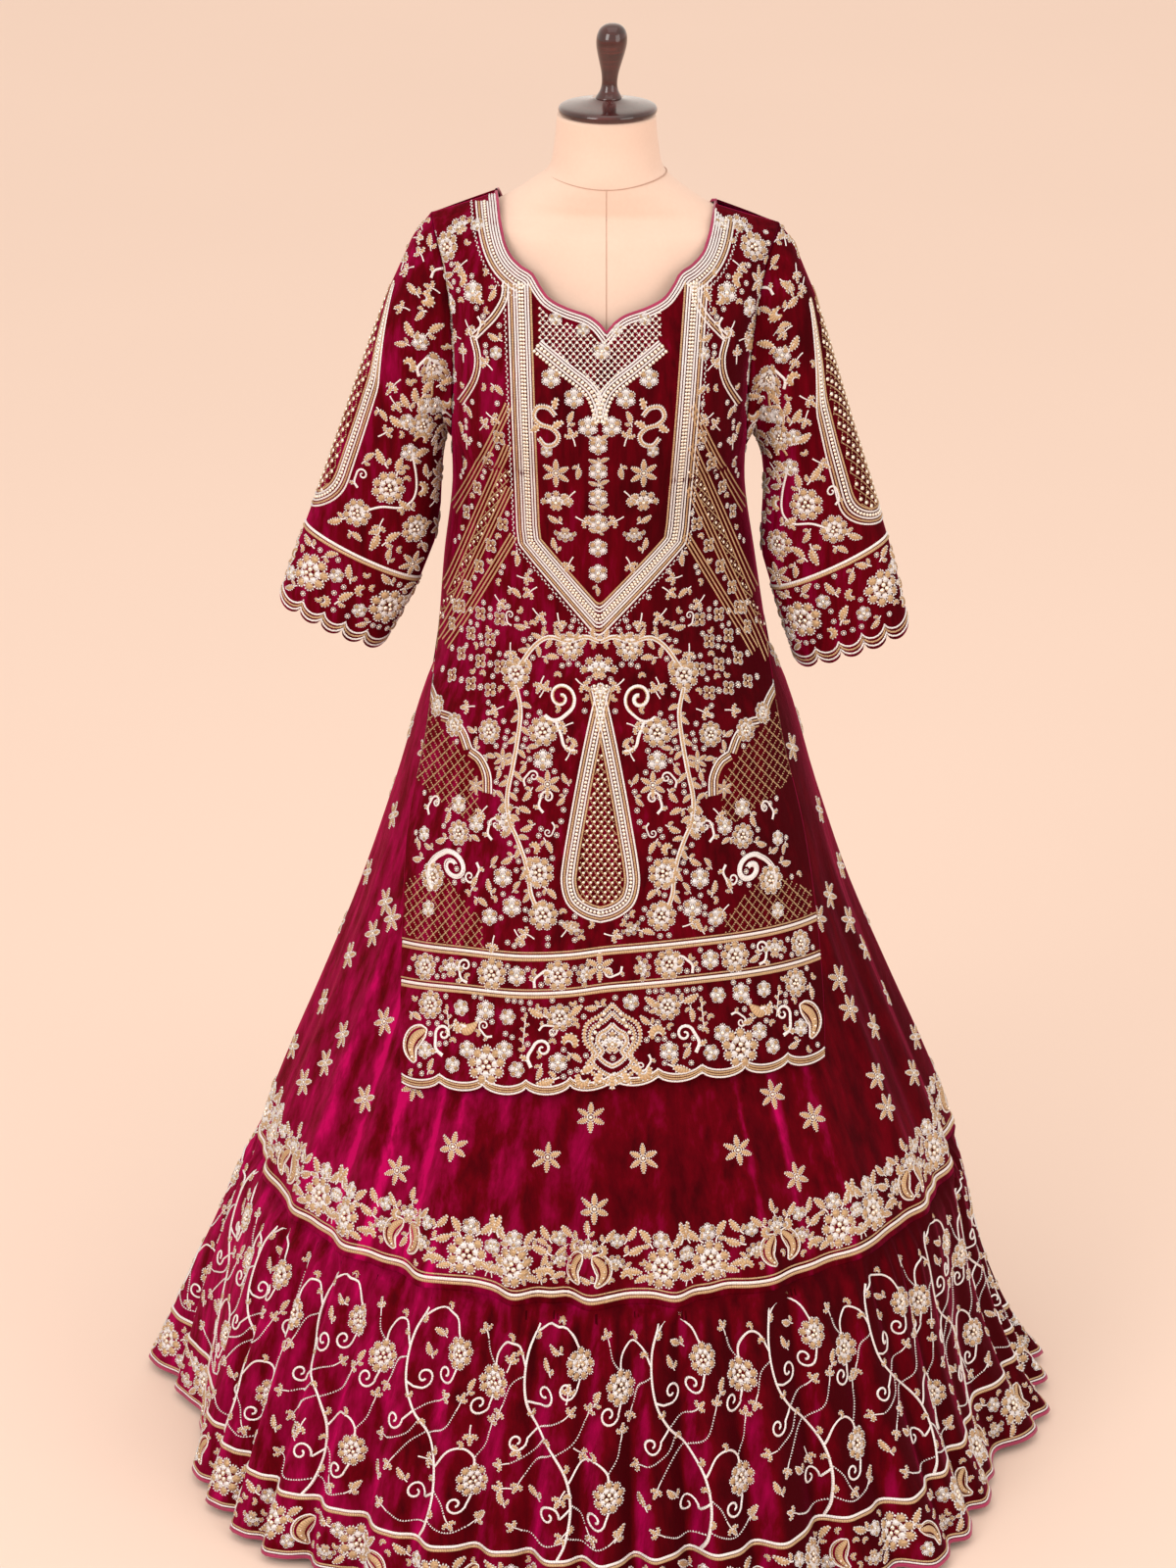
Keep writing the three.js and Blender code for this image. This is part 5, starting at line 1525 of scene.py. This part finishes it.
    # Border lines and the hem's scalloped edge.
    x = np.linspace(-232, 250, 60)
    for above in (143, 104):
        rope(work, columns_of(x, hem_line(x) + above))
        work.beads(columns_of(x, hem_line(x) + above + 5.6), 1.7, "gold")
    x = np.linspace(-232, 250, 400)
    for k, kind in enumerate(("silver", "gold", "gold", "silver")):
        work.beads(columns_of(x, hem_z(x) + 2.2 + 2.5 * k), bead, kind)

    # Leaves, buds and curls in what is left bare.
    def below(u, v):
        inner = (u > side_x(v, -1) + 6) & (u < side_x(v, 1) - 6)
        return inner & (v > hem_z(u) + 13) & (v < hem_line(u) + 139)

    def foot(u, v):
        inner = (u > side_x(v, -1) + 8) & (u < side_x(v, 1) - 8)
        return inner & (v > hem_line(u) + 152) & (v < 758)

    def middle(u, v):
        edges = (u > side_x(v, -1) + 8) & (u < axis(v) - 4)
        drop = (v > 750) & (v < 962) & (u > axis(850) - through(DROP, "half", v) - 7)
        return edges & ~drop

    def shoulder(u, v):
        top = np.minimum(ridge_z(u) - 14, edge_z(NECK_SCOOP, np.abs(u)) - 38)
        return (u < -104) & (u > -196) & (v > 1306) & (v < top)

    def beside(u, v):
        return (u > side_x(v, -1) + 8) & ((u < -104) | (v < 1038 - 1.16 * (u + 8)))

    def yoke(u, v):
        return (u > -66) & (u < -19) & (v > 1112) & (v < 1326)

    work.fill(below, (-246, 540, 264, 712), HEM_FILL)
    work.fill(foot, (-246, 690, 264, 760), MIDDLE_FILL[1:])
    work.fill(middle, (-246, 758, 6, 940), (*MIDDLE_FILL[:3], ("leaf", 7, 0.7), *MIDDLE_FILL[3:]), axis)
    work.fill(middle, (-160, 940, 6, 1056), MIDDLE_FILL[1:], axis)
    work.fill(shoulder, (-200, 1300, -100, 1500), MIDDLE_FILL[1:], axis)
    work.fill(beside, (-200, 1050, -20, 1306), MIDDLE_FILL[1:], axis)
    work.fill(yoke, (-70, 1104, -16, 1330), (("sprig", 12, 0.9), ("leaf", 8.5, 0.8)), axis)
    return work.finish()


def shrunk(outline, by):
    """A closed outline moved inwards."""
    before, after = np.roll(outline, 1, 0), np.roll(outline, -1, 0)
    step = unit(after - before)
    inward = columns_of(step[:, 1], -step[:, 0])
    moved = outline + inward * by
    middle = outline.mean(0)
    wrong = np.einsum("ij,ij->", outline - middle, inward) > 0
    moved = outline - inward * by if wrong else moved
    return joined(moved, moved[:1])


def stitch_back(bead):
    def surface(u, v):
        return back_point(-u, v)

    def limits(u, v):
        return np.clip(u, -side_x(v, 1) + 1.2, -side_x(v, -1) - 1.2), v

    work = Stitches("kurti_back_embroidery", surface, limits)
    x = np.linspace(-120, 120, 121)
    neck = columns_of(x, edge_z(BACK_SCOOP, np.abs(x)))
    neck = neck[neck[:, 1] < 1490]
    for by, kind in ((2.4, "silver"), (5.2, "silver"), (8, "gold"), (14.4, "silver"), (17.2, "gold")):
        work.beads(offset(neck, -by), bead, kind)
    work.sequins(offset(neck, -11.2), 1.9)
    work.lobes(offset(neck, -20), 2.8, -1)
    for row, z in enumerate(np.arange(700, 1400, 62.0)):
        x = (np.arange(-3, 4) + 0.5 * (row % 2)) * 64
        x = x[np.abs(x) < through(KURTI, "half", z) - 18]
        work.put("star", x, z, 0, 0.85)
    low = -BACK_HEM_DROP
    x = np.linspace(-250, 232, 60)
    for above in (143, 104):
        rope(work, columns_of(x, hem_line(-x) + above + low))
    x = np.linspace(-250, 232, 400)
    for k, kind in enumerate(("silver", "gold", "silver")):
        work.beads(columns_of(x, hem_z(-x, BACK_HEM_DROP) + 2.2 + 2.7 * k), bead, kind)
    for k in range(8):
        x = -222 + 63 * k
        z = hem_line(-x) + low
        work.put("bloom", x + 8, z + 52, 0, 1.0)
        work.put("bloom", x + 8, z + 123, 0, 0.75)
        for dx, dz, turn, size in ((22, 66, -60, 1.1), (-12, 66, 60, 1.1), (32, 30, 0, 1.1), (26, 123, -90, 1.0)):
            work.put("leaf", x + dx + 8, z + dz, turn, size)
        work.put("curl", x + 28, z + 34, 0, 0.9)
        work.put("rosette", x + 40, z + 86, 0, 0.55)
        work.put("rosette", x + 38, z + 123, 0, 0.6)
    return work.finish()


# On each sleeve, measured from the middle of its front: sideways to the body and up from the cuff.
SLEEVE_MOTIFS = {
    "bloom": [(2, 152, 0, 1.05), (34, 128, 0, 0.9), (-16, 108, 0, 0.9), (20, 262, 0, 0.8), (10, 352, 0, 0.95)],
    "rosette": [(12, 208, 0, 0.8), (4, 234, 0, 0.75), (18, 292, 0, 0.8), (-8, 330, 0, 0.8), (28, 330, 0, 0.9)],
    "star": [(62, 322, 0, 0.95), (58, 222, 0, 0.95), (72, 142, 0, 0.95), (44, 84, 0, 0.95)],
    "comma": [(28, 172, -30, 1.3), (-8, 282, 20, 1.2), (24, 240, 10, 1.0), (30, 368, -20, 1.2), (-22, 352, 0, 1.2)],
    "curl": [(-22, 130, 20, 0.8), (2, 300, 0, 1.0), (40, 352, -10, 0.9), (-30, 380, 0, 0.9)],
    "leaf": [
        (-10, 172, 40, 1.1), (6, 182, -10, 1.0), (16, 102, -40, 1.1), (4, 92, 170, 1.2), (-30, 90, 120, 1.0),
        (20, 148, 60, 1.0), (24, 222, -60, 1.1), (-4, 220, 60, 1.1), (-2, 250, 40, 1.0), (30, 278, -40, 1.0),
        (6, 276, 20, 1.0), (-20, 312, 50, 1.1), (14, 316, -20, 1.1), (44, 312, -60, 1.0), (-6, 372, 0, 1.1),
        (20, 388, 10, 1.1), (-34, 338, 70, 1.0), (46, 384, -30, 1.0),
    ],
}


def stitch_sleeve(name, rows, side, bead):
    """The sleeve's own measures: u round it from the middle of the front, v up from the cuff."""
    length, girth = 410.0, 48.0

    def surface(u, v):
        turn = np.pi / 2 + np.asarray(u) / girth * (1 if side < 0 else -1)
        return sleeve_point(rows, side, turn, np.clip(1 - np.asarray(v) / length, 0, 1))

    def seen(u):
        return u if side < 0 else -np.asarray(u)

    work = Stitches(f"{name}_embroidery", surface)
    swing = 0 if side < 0 else 12
    for motif, places in SLEEVE_MOTIFS.items():
        u, v, turn, size = np.array(places, float).T
        work.put(motif, seen(u + swing * 0.4), v, turn if side < 0 else -turn, size, side > 0)

    def shown(path, sideways=0.0):
        return columns_of(seen(path[:, 0] + sideways), path[:, 1])

    for stem, kind in (([(14, 212), (23, 190), (25, 164), (16, 142), (0, 128), (-14, 110)], "silver"),
            ([(14, 225), (20, 250), (10, 275), (14, 300), (20, 325), (10, 350)], "gold")):
        work.cord(shown(smooth_path(stem, 5), swing * 0.4), 2.6, kind)
    # The tall arch down the outer side.
    middle, half, foot, head = -78 + swing, 46, 84, 300

    def arch(inset):
        r = half - inset
        t = np.linspace(0, np.pi, 24)
        arc = columns_of(middle - r * np.cos(t), foot + half - r * np.sin(t))
        left, right = ([(middle + way * r * 0.35, head), (middle + way * r, head - 80)] for way in (-1, 1))
        return shown(joined(left, arc, right[::-1]))

    for inset, kind in ((0, "silver"), (2.8, "gold"), (5.6, "silver"), (11.8, "silver"), (14.6, "gold")):
        work.beads(arch(inset), bead, kind)
    work.sequins(arch(8.7), 2.1)

    def in_arch(u, v):
        away = np.abs(seen(u) - middle)
        room = np.where(v < foot + half, np.sqrt(np.maximum(half**2 - (foot + half - v) ** 2, 0)), half) - 18
        room = np.where(v > head - 80, room - (v - head + 80) * 0.37, room)
        return (away < room) & (v > foot + 16)

    edges = sorted([float(seen(middle - 30)), float(seen(middle + 30))])
    work.lattice(in_arch, (edges[0], foot, edges[1], head), 11.0, 1.25, 1.7, True)
    # The cuff: a double rope, a border of flowers and a scalloped edge.
    u = np.linspace(-np.pi, np.pi, 140) * girth
    around = columns_of(u, np.full_like(u, 66.0))
    rope(work, around)
    fine = np.linspace(-np.pi, np.pi, 700) * girth
    level = np.pi / 2 + fine / girth * (1 if side < 0 else -1)
    edge = scallop((np.cos(level) + 1) / 2 * CUFF_SCALLOPS, 0.0155) * length
    for k, kind in enumerate(("silver", "gold", "silver")):
        work.beads(columns_of(fine, edge + 2.4 + 2.7 * k), bead, kind)
    for k in range(4):
        u = -113 + 75.4 * k
        work.put("bloom", u + 2, 36, 0, 1.2)
        work.put("rosette", u + 25, 44, 0, 0.7)
        work.put("rosette", u - 22, 26, 0, 0.7)
        work.put("comma", u + 22, 18, -30, 1.0)
        work.put("comma", u - 26, 44, 150, 1.0)
        for du, v, way, size in ((38, 30, -40, 1.1), (-12, 57, 60, 0.9), (14, 56, -60, 0.9), (-14, 17, 120, 0.8)):
            work.put("leaf", u + du, v, way, size)
        work.put("leaf", u + 34, 50, 20, 1.0)

    def cuff(u, v):
        return (v > 14) & (v < 62)

    def front(u, v):
        outer = np.where(v > 306, -80, -32)
        return (seen(u) > outer) & (seen(u) < 58) & (v > 74) & (v < 404)

    work.fill(cuff, (-150, 12, 150, 64), HEM_FILL[1:])
    work.fill(front, (-82, 72, 82, 406), MIDDLE_FILL[1:4])
    for v, shift in ((120, 0), (200, 30), (280, 0), (350, 30)):
        u = np.array([100.0, 145.0, -150.0]) + shift * 0.3
        work.put("star", seen(u), v, 0, 0.9)
    return work.finish()


# The skirt's rows of stars round the front: height, direction of the row's middle, degrees apart and count.
SKIRT_STARS = ((445, -2, 38, 3), (490, -2, 18, 4), (535, -3, 38, 3), (500, -5, 95, 2), (505, -3, 131, 2),
    (585, 4, 116, 2), (660, 4, 145, 2), (690, 0, 124, 2))


# One half of a repeat of the border above the skirt's seam: sideways, up, turn and size. The other half is mirrored.
SKIRT_BORDER = (("paisley", -9, 2, 18, 0.98), ("comma", -14, 44, 160, 1.0), ("fan", -32, 22, 20, 0.7),
    ("rosette", -34, 46, 0, 0.66), ("leaf", -24, 52, 40, 1.0), ("comma", -40, 6, 60, 1.1), ("leaf", -52, 14, 100, 1.0),
    ("leaf", -54, 34, 60, 1.1), ("leaf", -50, 50, 30, 1.0), ("bloom", -85, 18, 0, 1.28), ("rosette", -85, 47, 0, 0.85),
    ("leaf", -68, 46, -40, 1.1), ("leaf", -102, 46, 40, 1.1), ("leaf", -108, 10, 110, 1.1), ("leaf", -64, 4, -110, 1.0),
    ("rosette", -112, 30, 0, 0.66), ("leaf", -114, 52, 20, 1.2), ("sprig", -110, -2, 20, 0.8))


def stitch_skirt():
    girth = 400.0

    def surface(u, v):
        return skirt_point(np.asarray(u) / girth, v)

    def at(degrees):
        return np.radians(degrees) * girth

    work = Stitches("skirt_embroidery", surface)
    for z, middle, apart, count in SKIRT_STARS:
        degrees = middle + apart * (np.arange(count) - (count - 1) / 2)
        work.put("star", at(degrees), z, 0, 1.0, reach=10)
    for row, z in enumerate((470, 545, 620, 700, 785, 875, 965)):
        count = (16, 15, 14, 13, 12, 11, 9)[row]
        degrees = (np.arange(count) + 0.5 * (row % 2)) * 240 / count + 62
        work.put("star", at(degrees), z, 0, 1.0, reach=10)
    for k in range(11):
        a = -3 + k * 360 / 11
        for motif, x, y, turn, size in SKIRT_BORDER:
            work.pair(motif, at(a), at(a) + x, SKIRT_SEAM_Z + 22 + y, turn, size, reach=8)
        work.put("fan", at(a), SKIRT_SEAM_Z + 62, 0, 0.85, reach=8)
        work.put("leaf", at(a), SKIRT_SEAM_Z + 84, 0, 0.9, reach=8)

    def border(u, v):
        return (v > SKIRT_SEAM_Z + 20) & (v < SKIRT_SEAM_Z + 74)

    work.fill(border, (-0.2 * girth, 355, 6.2 * girth, 418), HEM_FILL[2:4])
    u = np.linspace(0, 2 * np.pi, 361) * girth
    rope(work, columns_of(u, np.full_like(u, 350.5)), 3.4, 3.8)
    work.beads(columns_of(u, np.full_like(u, 356.8)), 1.8, "gold")
    return work.finish()


def vine_unit():
    """One repeat of the flounce's vine, its foot at (0, 0), about 150 wide and 250 high."""
    made = Motif()

    def cord(points, width=2.5, steps=5):
        made.thread("silver", smooth_path(points, steps), width, 0.5)

    def curled(stem, x, y, reach, start, sweep, width=2.5):
        made.thread("silver", joined(smooth_path(stem, 3), spiral(x, y, reach, start, sweep, 0.2, 20)), width, 0.5)

    def dotted(points):
        line = smooth_path(points, 6)
        along = run_of(line)
        at = np.arange(0, along[-1], 2.9)
        made.beads("silver", np.stack([np.interp(at, along, c) for c in line.T], -1), 2.1)

    main = [(-36, 250), (-47, 224), (-50, 194), (-45, 164), (-30, 138), (-8, 114), (8, 86), (13, 52), (8, 18), (0, 0)]
    cord(main, 2.9)
    cord([(-50, 206), (-60, 226), (-76, 230), (-88, 216), (-90, 198)])
    made.join(MOTIFS["bloom"], -90, 184, 0, 1.06)
    curled([(-90, 168), (-94, 156)], -106, 158, 13, -10, -430)
    curled([(-46, 168), (-36, 164)], -24, 176, 13, -110, 430)
    curled([(-30, 138), (-42, 126)], -54, 124, 12, 0, -430)
    cord([(10, 84), (24, 104), (42, 108), (54, 98), (56, 84)])
    made.join(MOTIFS["bloom"], 56, 72, 0, 1.0)
    curled([(56, 56), (52, 46)], 40, 46, 12, 0, -430)
    curled([(13, 56), (2, 46)], -12, 48, 13, -10, 430)
    cord([(-40, 240), (-20, 252), (6, 246), (18, 226)])
    made.join(MOTIFS["bloom"], 20, 210, 0, 0.98)
    curled([(20, 194), (16, 182)], 4, 184, 12, -10, -430)
    for x, y, turn in ((-55, 216, 60), (-41, 236, -50), (-43, 156, -100), (-16, 122, 40), (2, 98, -60), (12, 66, 60),
            (9, 30, -50), (-70, 232, 20), (36, 108, -10), (-4, 252, 30)):
        made.join(MOTIFS["comma"], x, y, turn, 0.7)
    for path, turn in (([(-50, 196), (-66, 186), (-74, 164)], 160), ([(-30, 138), (-16, 146), (0, 152)], -50),
            ([(-8, 114), (16, 128), (28, 150)], -20), ([(-10, 116), (-28, 104), (-44, 84)], 150),
            ([(13, 60), (24, 48), (30, 34)], 210), ([(8, 20), (-20, 14), (-42, 22)], 60),
            ([(9, 24), (34, 14), (56, 20)], -50), ([(56, 98), (66, 112), (70, 128)], -10),
            ([(-90, 200), (-100, 214), (-104, 228)], 20), ([(-22, 128), (-34, 112), (-60, 100)], 100)):
        dotted(path)
        made.join(MOTIFS["sprig"], *path[-1], turn, 0.86)
    for x, y, turn in ((-22, 206, 20), (42, 176, -30), (-66, 60, 20), (-30, 66, 40), (-12, 226, 60), (68, 30, -40)):
        made.join(MOTIFS["leaf"], x, y, turn, 0.9)
    return made


def stitch_flounce(bead):
    girth = 490.0

    def surface(u, v):
        return flounce_point(np.asarray(u) / girth, v)

    def at(degrees):
        return np.radians(degrees) * girth

    work = Stitches("flounce_embroidery", surface)
    vine = vine_unit()
    for k in range(VINES):
        a = -6 + k * 360 / VINES
        work.put(vine, at(a), 84.0, 0, 1.0, False, reach=90)
    u = np.linspace(0, 2 * np.pi, 721) * girth
    rope(work, columns_of(u, np.full_like(u, 81.0)))
    work.beads(columns_of(u, np.full_like(u, 15.0)), bead)
    work.beads(columns_of(u, np.full_like(u, 17.8)), bead, "gold")
    for k in range(30):
        a = at(k * 12.0 + 3)
        work.put("bloom", a, 48, 0, 1.25)
        work.put("paisley", a + 40, 26, 20, 0.95, k % 2 > 0)
        work.put("rosette", a - 24, 60, 0, 0.75)
        work.put("rosette", a + 22, 30, 0, 0.7)
        work.put("fan", a - 34, 34, 180, 0.7)
        for du, v, way, size in ((22, 62, -50, 1.1), (-18, 28, 130, 1.0), (60, 66, 60, 1.1)):
            work.put("leaf", a + du, v, way, size)

    def border(u, v):
        return (v > 21) & (v < 76)

    def vines(u, v):
        return (v > 90) & (v < 318)

    work.fill(border, (0, 18, 6.28 * girth, 80), HEM_FILL[3:4])
    work.fill(vines, (0, 88, 6.28 * girth, 320), (("sprig", 20, 1.0),))
    return work.finish()


# ---- settings and operators
def length(name, description, default, low, high):
    return bpy.props.FloatProperty(name=name, description=description, default=default, min=low, max=high,
        unit="LENGTH")


def tint(name, description, *rgb):
    return bpy.props.FloatVectorProperty(name=name, description=description, default=colour(*rgb), min=0, max=1,
        subtype="COLOR")


class LehengaSizes(bpy.types.PropertyGroup):
    velvet_thickness: length("Velvet thickness", "Thickness of the skirt's and kurti's velvet", 0.0014, 0.0006, 0.003)
    bead: length("Bead", "Diameter of the beads in the couched lines", 0.0021, 0.001, 0.004)


class LehengaCloth(bpy.types.PropertyGroup):
    velvet: tint("Velvet", "Deep colour of the pile", 90, 0, 12)
    # The painted highlight colour that the velvet's painted sheen brings into its base colour.
    highlight: tint("Highlight", "Colour of the pile where it is brushed light", 172, 4, 82)
    gold: tint("Gold", "Colour of the gold thread", 230, 190, 144)
    silver: tint("Silver", "Colour of the champagne-silver beads", 252, 247, 247)
    backdrop: tint("Backdrop", "Colour of the paper floor and backdrop", 235, 212, 198)


class LEHENGA_OT_stage(bpy.types.Operator):
    """Add the paper floor and backdrop, the soft lights and the camera"""

    bl_idname = "lehenga.stage"
    bl_label = "Stage"

    def execute(self, context):
        scene = context.scene
        # The floor's rings of corners, then its middle point.
        reach, count = np.array([500.0, 1200, 2500, 5000, 9000, 14000, 20000, 28000]), 72
        turn, middle = circle(count), len(reach) * count
        flat = np.outer(reach, np.cos(turn)), np.outer(reach, np.sin(turn)), np.zeros((len(reach), count))
        vertices = joined(columns_of(*flat).reshape(-1, 3), [[0, 0, 0]])
        k, n = np.arange(count), (np.arange(count) + 1) % count
        rings = [columns_of(r + k, r + count + k, r + count + n, r + n) for r in range(0, middle - count, count)]
        faces = [joined(q[:, [0, 1, 2]], q[:, [0, 2, 3]]) for q in rings]
        faces = joined(*faces, columns_of(k, n, np.full(count, middle)))
        floor = mesh_object("paper_floor", vertices, faces, backdrop_paint(tuple(scene.lehenga_cloth.backdrop)))
        floor.parent = None

        def lamp(name, place, size, power, tint):
            light = bpy.data.lights.new(name, "AREA")
            light.shape, light.size, light.size_y = "RECTANGLE", size[0], size[1]
            light.energy, light.color = power, tint
            lamp_object = bpy.data.objects.new(name, light)
            scene.collection.objects.link(lamp_object)
            lamp_object.location = place
            aim = Vector((0, 0, 0.85)) - Vector(place)
            lamp_object.rotation_euler = aim.to_track_quat("-Z", "Y").to_euler()

        lamp("key_softbox", (-2.6, -3.4, 3.0), (1.8, 2.4), 70, (1.0, 0.98, 0.95))
        lamp("fill_softbox", (3.0, -3.0, 2.2), (2.4, 2.4), 36, (1.0, 0.97, 0.94))
        lamp("top_softbox", (0, -0.6, 4.2), (3.0, 2.6), 16, (1.0, 0.97, 0.94))
        world = bpy.data.worlds.new("studio")
        world.use_nodes = True
        world.node_tree.nodes["Background"].inputs["Color"].default_value = (*colour(255, 243, 232), 1)
        world.node_tree.nodes["Background"].inputs["Strength"].default_value = 1.1
        scene.world = world

        camera = bpy.data.cameras.new("camera")
        camera.sensor_width, camera.lens = 36, 94.0
        camera.clip_start, camera.clip_end = 0.05, 60
        holder = bpy.data.objects.new("camera", camera)
        scene.collection.objects.link(holder)
        holder.location = (-0.02, -4.4, 2.617)
        holder.rotation_euler = (math.radians(90 - 22.41), 0, 0)
        scene.camera = holder
        scene.view_settings.view_transform = "Standard"
        return {"FINISHED"}


class LEHENGA_OT_form(bpy.types.Operator):
    """Add the covered dress form, its turned wood cap and knob, and its stand"""

    bl_idname = "lehenga.form"
    bl_label = "Dress form"

    def execute(self, context):
        make_form()
        return {"FINISHED"}


class LEHENGA_OT_skirt(bpy.types.Operator):
    """Add the gored velvet skirt with its waistband"""

    bl_idname = "lehenga.skirt"
    bl_label = "Skirt"

    def execute(self, context):
        make_skirt(context.scene.lehenga_sizes.velvet_thickness / MM)
        return {"FINISHED"}


class LEHENGA_OT_flounce(bpy.types.Operator):
    """Add the gathered flounce and the piping round its hem"""

    bl_idname = "lehenga.flounce"
    bl_label = "Flounce"

    def execute(self, context):
        make_flounce(context.scene.lehenga_sizes.velvet_thickness / MM)
        return {"FINISHED"}


class LEHENGA_OT_kurti(bpy.types.Operator):
    """Add the kurti's front and back panels and the facing round its neck"""

    bl_idname = "lehenga.kurti"
    bl_label = "Kurti"

    def execute(self, context):
        make_kurti(context.scene.lehenga_sizes.velvet_thickness / MM)
        return {"FINISHED"}


class LEHENGA_OT_sleeves(bpy.types.Operator):
    """Add the two sleeves"""

    bl_idname = "lehenga.sleeves"
    bl_label = "Sleeves"

    def execute(self, context):
        thick = context.scene.lehenga_sizes.velvet_thickness / MM
        make_sleeve("sleeve_left", SLEEVE_LEFT, -1, thick)
        make_sleeve("sleeve_right", SLEEVE_RIGHT, 1, thick)
        return {"FINISHED"}


class LEHENGA_OT_kurti_embroidery(bpy.types.Operator):
    """Add the embroidery of the kurti's front and back"""

    bl_idname = "lehenga.kurti_embroidery"
    bl_label = "Kurti embroidery"

    def execute(self, context):
        bead = context.scene.lehenga_sizes.bead / MM
        made = stitch_front(bead)
        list(stitch_back(bead))
        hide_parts("yoke_braid", "neck_braid", "drop_braid", "kurti_line_1", "kurti_line_2")
        return {"FINISHED"}


class LEHENGA_OT_sleeve_embroidery(bpy.types.Operator):
    """Add the embroidery of both sleeves"""

    bl_idname = "lehenga.sleeve_embroidery"
    bl_label = "Sleeve embroidery"

    def execute(self, context):
        bead = context.scene.lehenga_sizes.bead / MM
        for name, rows, side in (("sleeve_left", SLEEVE_LEFT, -1), ("sleeve_right", SLEEVE_RIGHT, 1)):
            made = stitch_sleeve(name, rows, side, bead)
            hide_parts(f"{name}_line")
        return {"FINISHED"}


class LEHENGA_OT_skirt_embroidery(bpy.types.Operator):
    """Add the skirt's scattered stars and the border above its seam"""

    bl_idname = "lehenga.skirt_embroidery"
    bl_label = "Skirt embroidery"

    def execute(self, context):
        made = stitch_skirt()
        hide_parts("skirt_seam_braid")
        return {"FINISHED"}


class LEHENGA_OT_flounce_embroidery(bpy.types.Operator):
    """Add the flounce's vines and the border round its hem"""

    bl_idname = "lehenga.flounce_embroidery"
    bl_label = "Flounce embroidery"

    def execute(self, context):
        made = stitch_flounce(context.scene.lehenga_sizes.bead / MM)
        return {"FINISHED"}


STEPS = (LEHENGA_OT_stage, LEHENGA_OT_form, LEHENGA_OT_skirt, LEHENGA_OT_flounce, LEHENGA_OT_kurti, LEHENGA_OT_sleeves,
    LEHENGA_OT_kurti_embroidery, LEHENGA_OT_sleeve_embroidery, LEHENGA_OT_skirt_embroidery,
    LEHENGA_OT_flounce_embroidery)


class LEHENGA_PT_panel(bpy.types.Panel):
    """Sizes, colours and one button for each piece"""

    bl_label = "Bridal Lehenga"
    bl_idname = "LEHENGA_PT_panel"
    bl_space_type = "VIEW_3D"
    bl_region_type = "UI"
    bl_category = "Lehenga"

    def draw(self, context):
        for group in (context.scene.lehenga_sizes, context.scene.lehenga_cloth):
            for label in group.__annotations__:
                self.layout.prop(group, label)
        for step in STEPS:
            self.layout.operator(step.bl_idname)


CLASSES = (LehengaSizes, LehengaCloth, *STEPS, LEHENGA_PT_panel)


def register():
    for made in CLASSES:
        bpy.utils.register_class(made)
    bpy.types.Scene.lehenga_sizes = bpy.props.PointerProperty(type=LehengaSizes)
    bpy.types.Scene.lehenga_cloth = bpy.props.PointerProperty(type=LehengaCloth)


def unregister():
    del bpy.types.Scene.lehenga_cloth
    del bpy.types.Scene.lehenga_sizes
    for made in reversed(CLASSES):
        bpy.utils.unregister_class(made)


def main():
    register()
    for step in STEPS:
        getattr(bpy.ops.lehenga, step.bl_idname.split(".")[1])()
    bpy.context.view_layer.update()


if __name__ == "__main__":
    main()
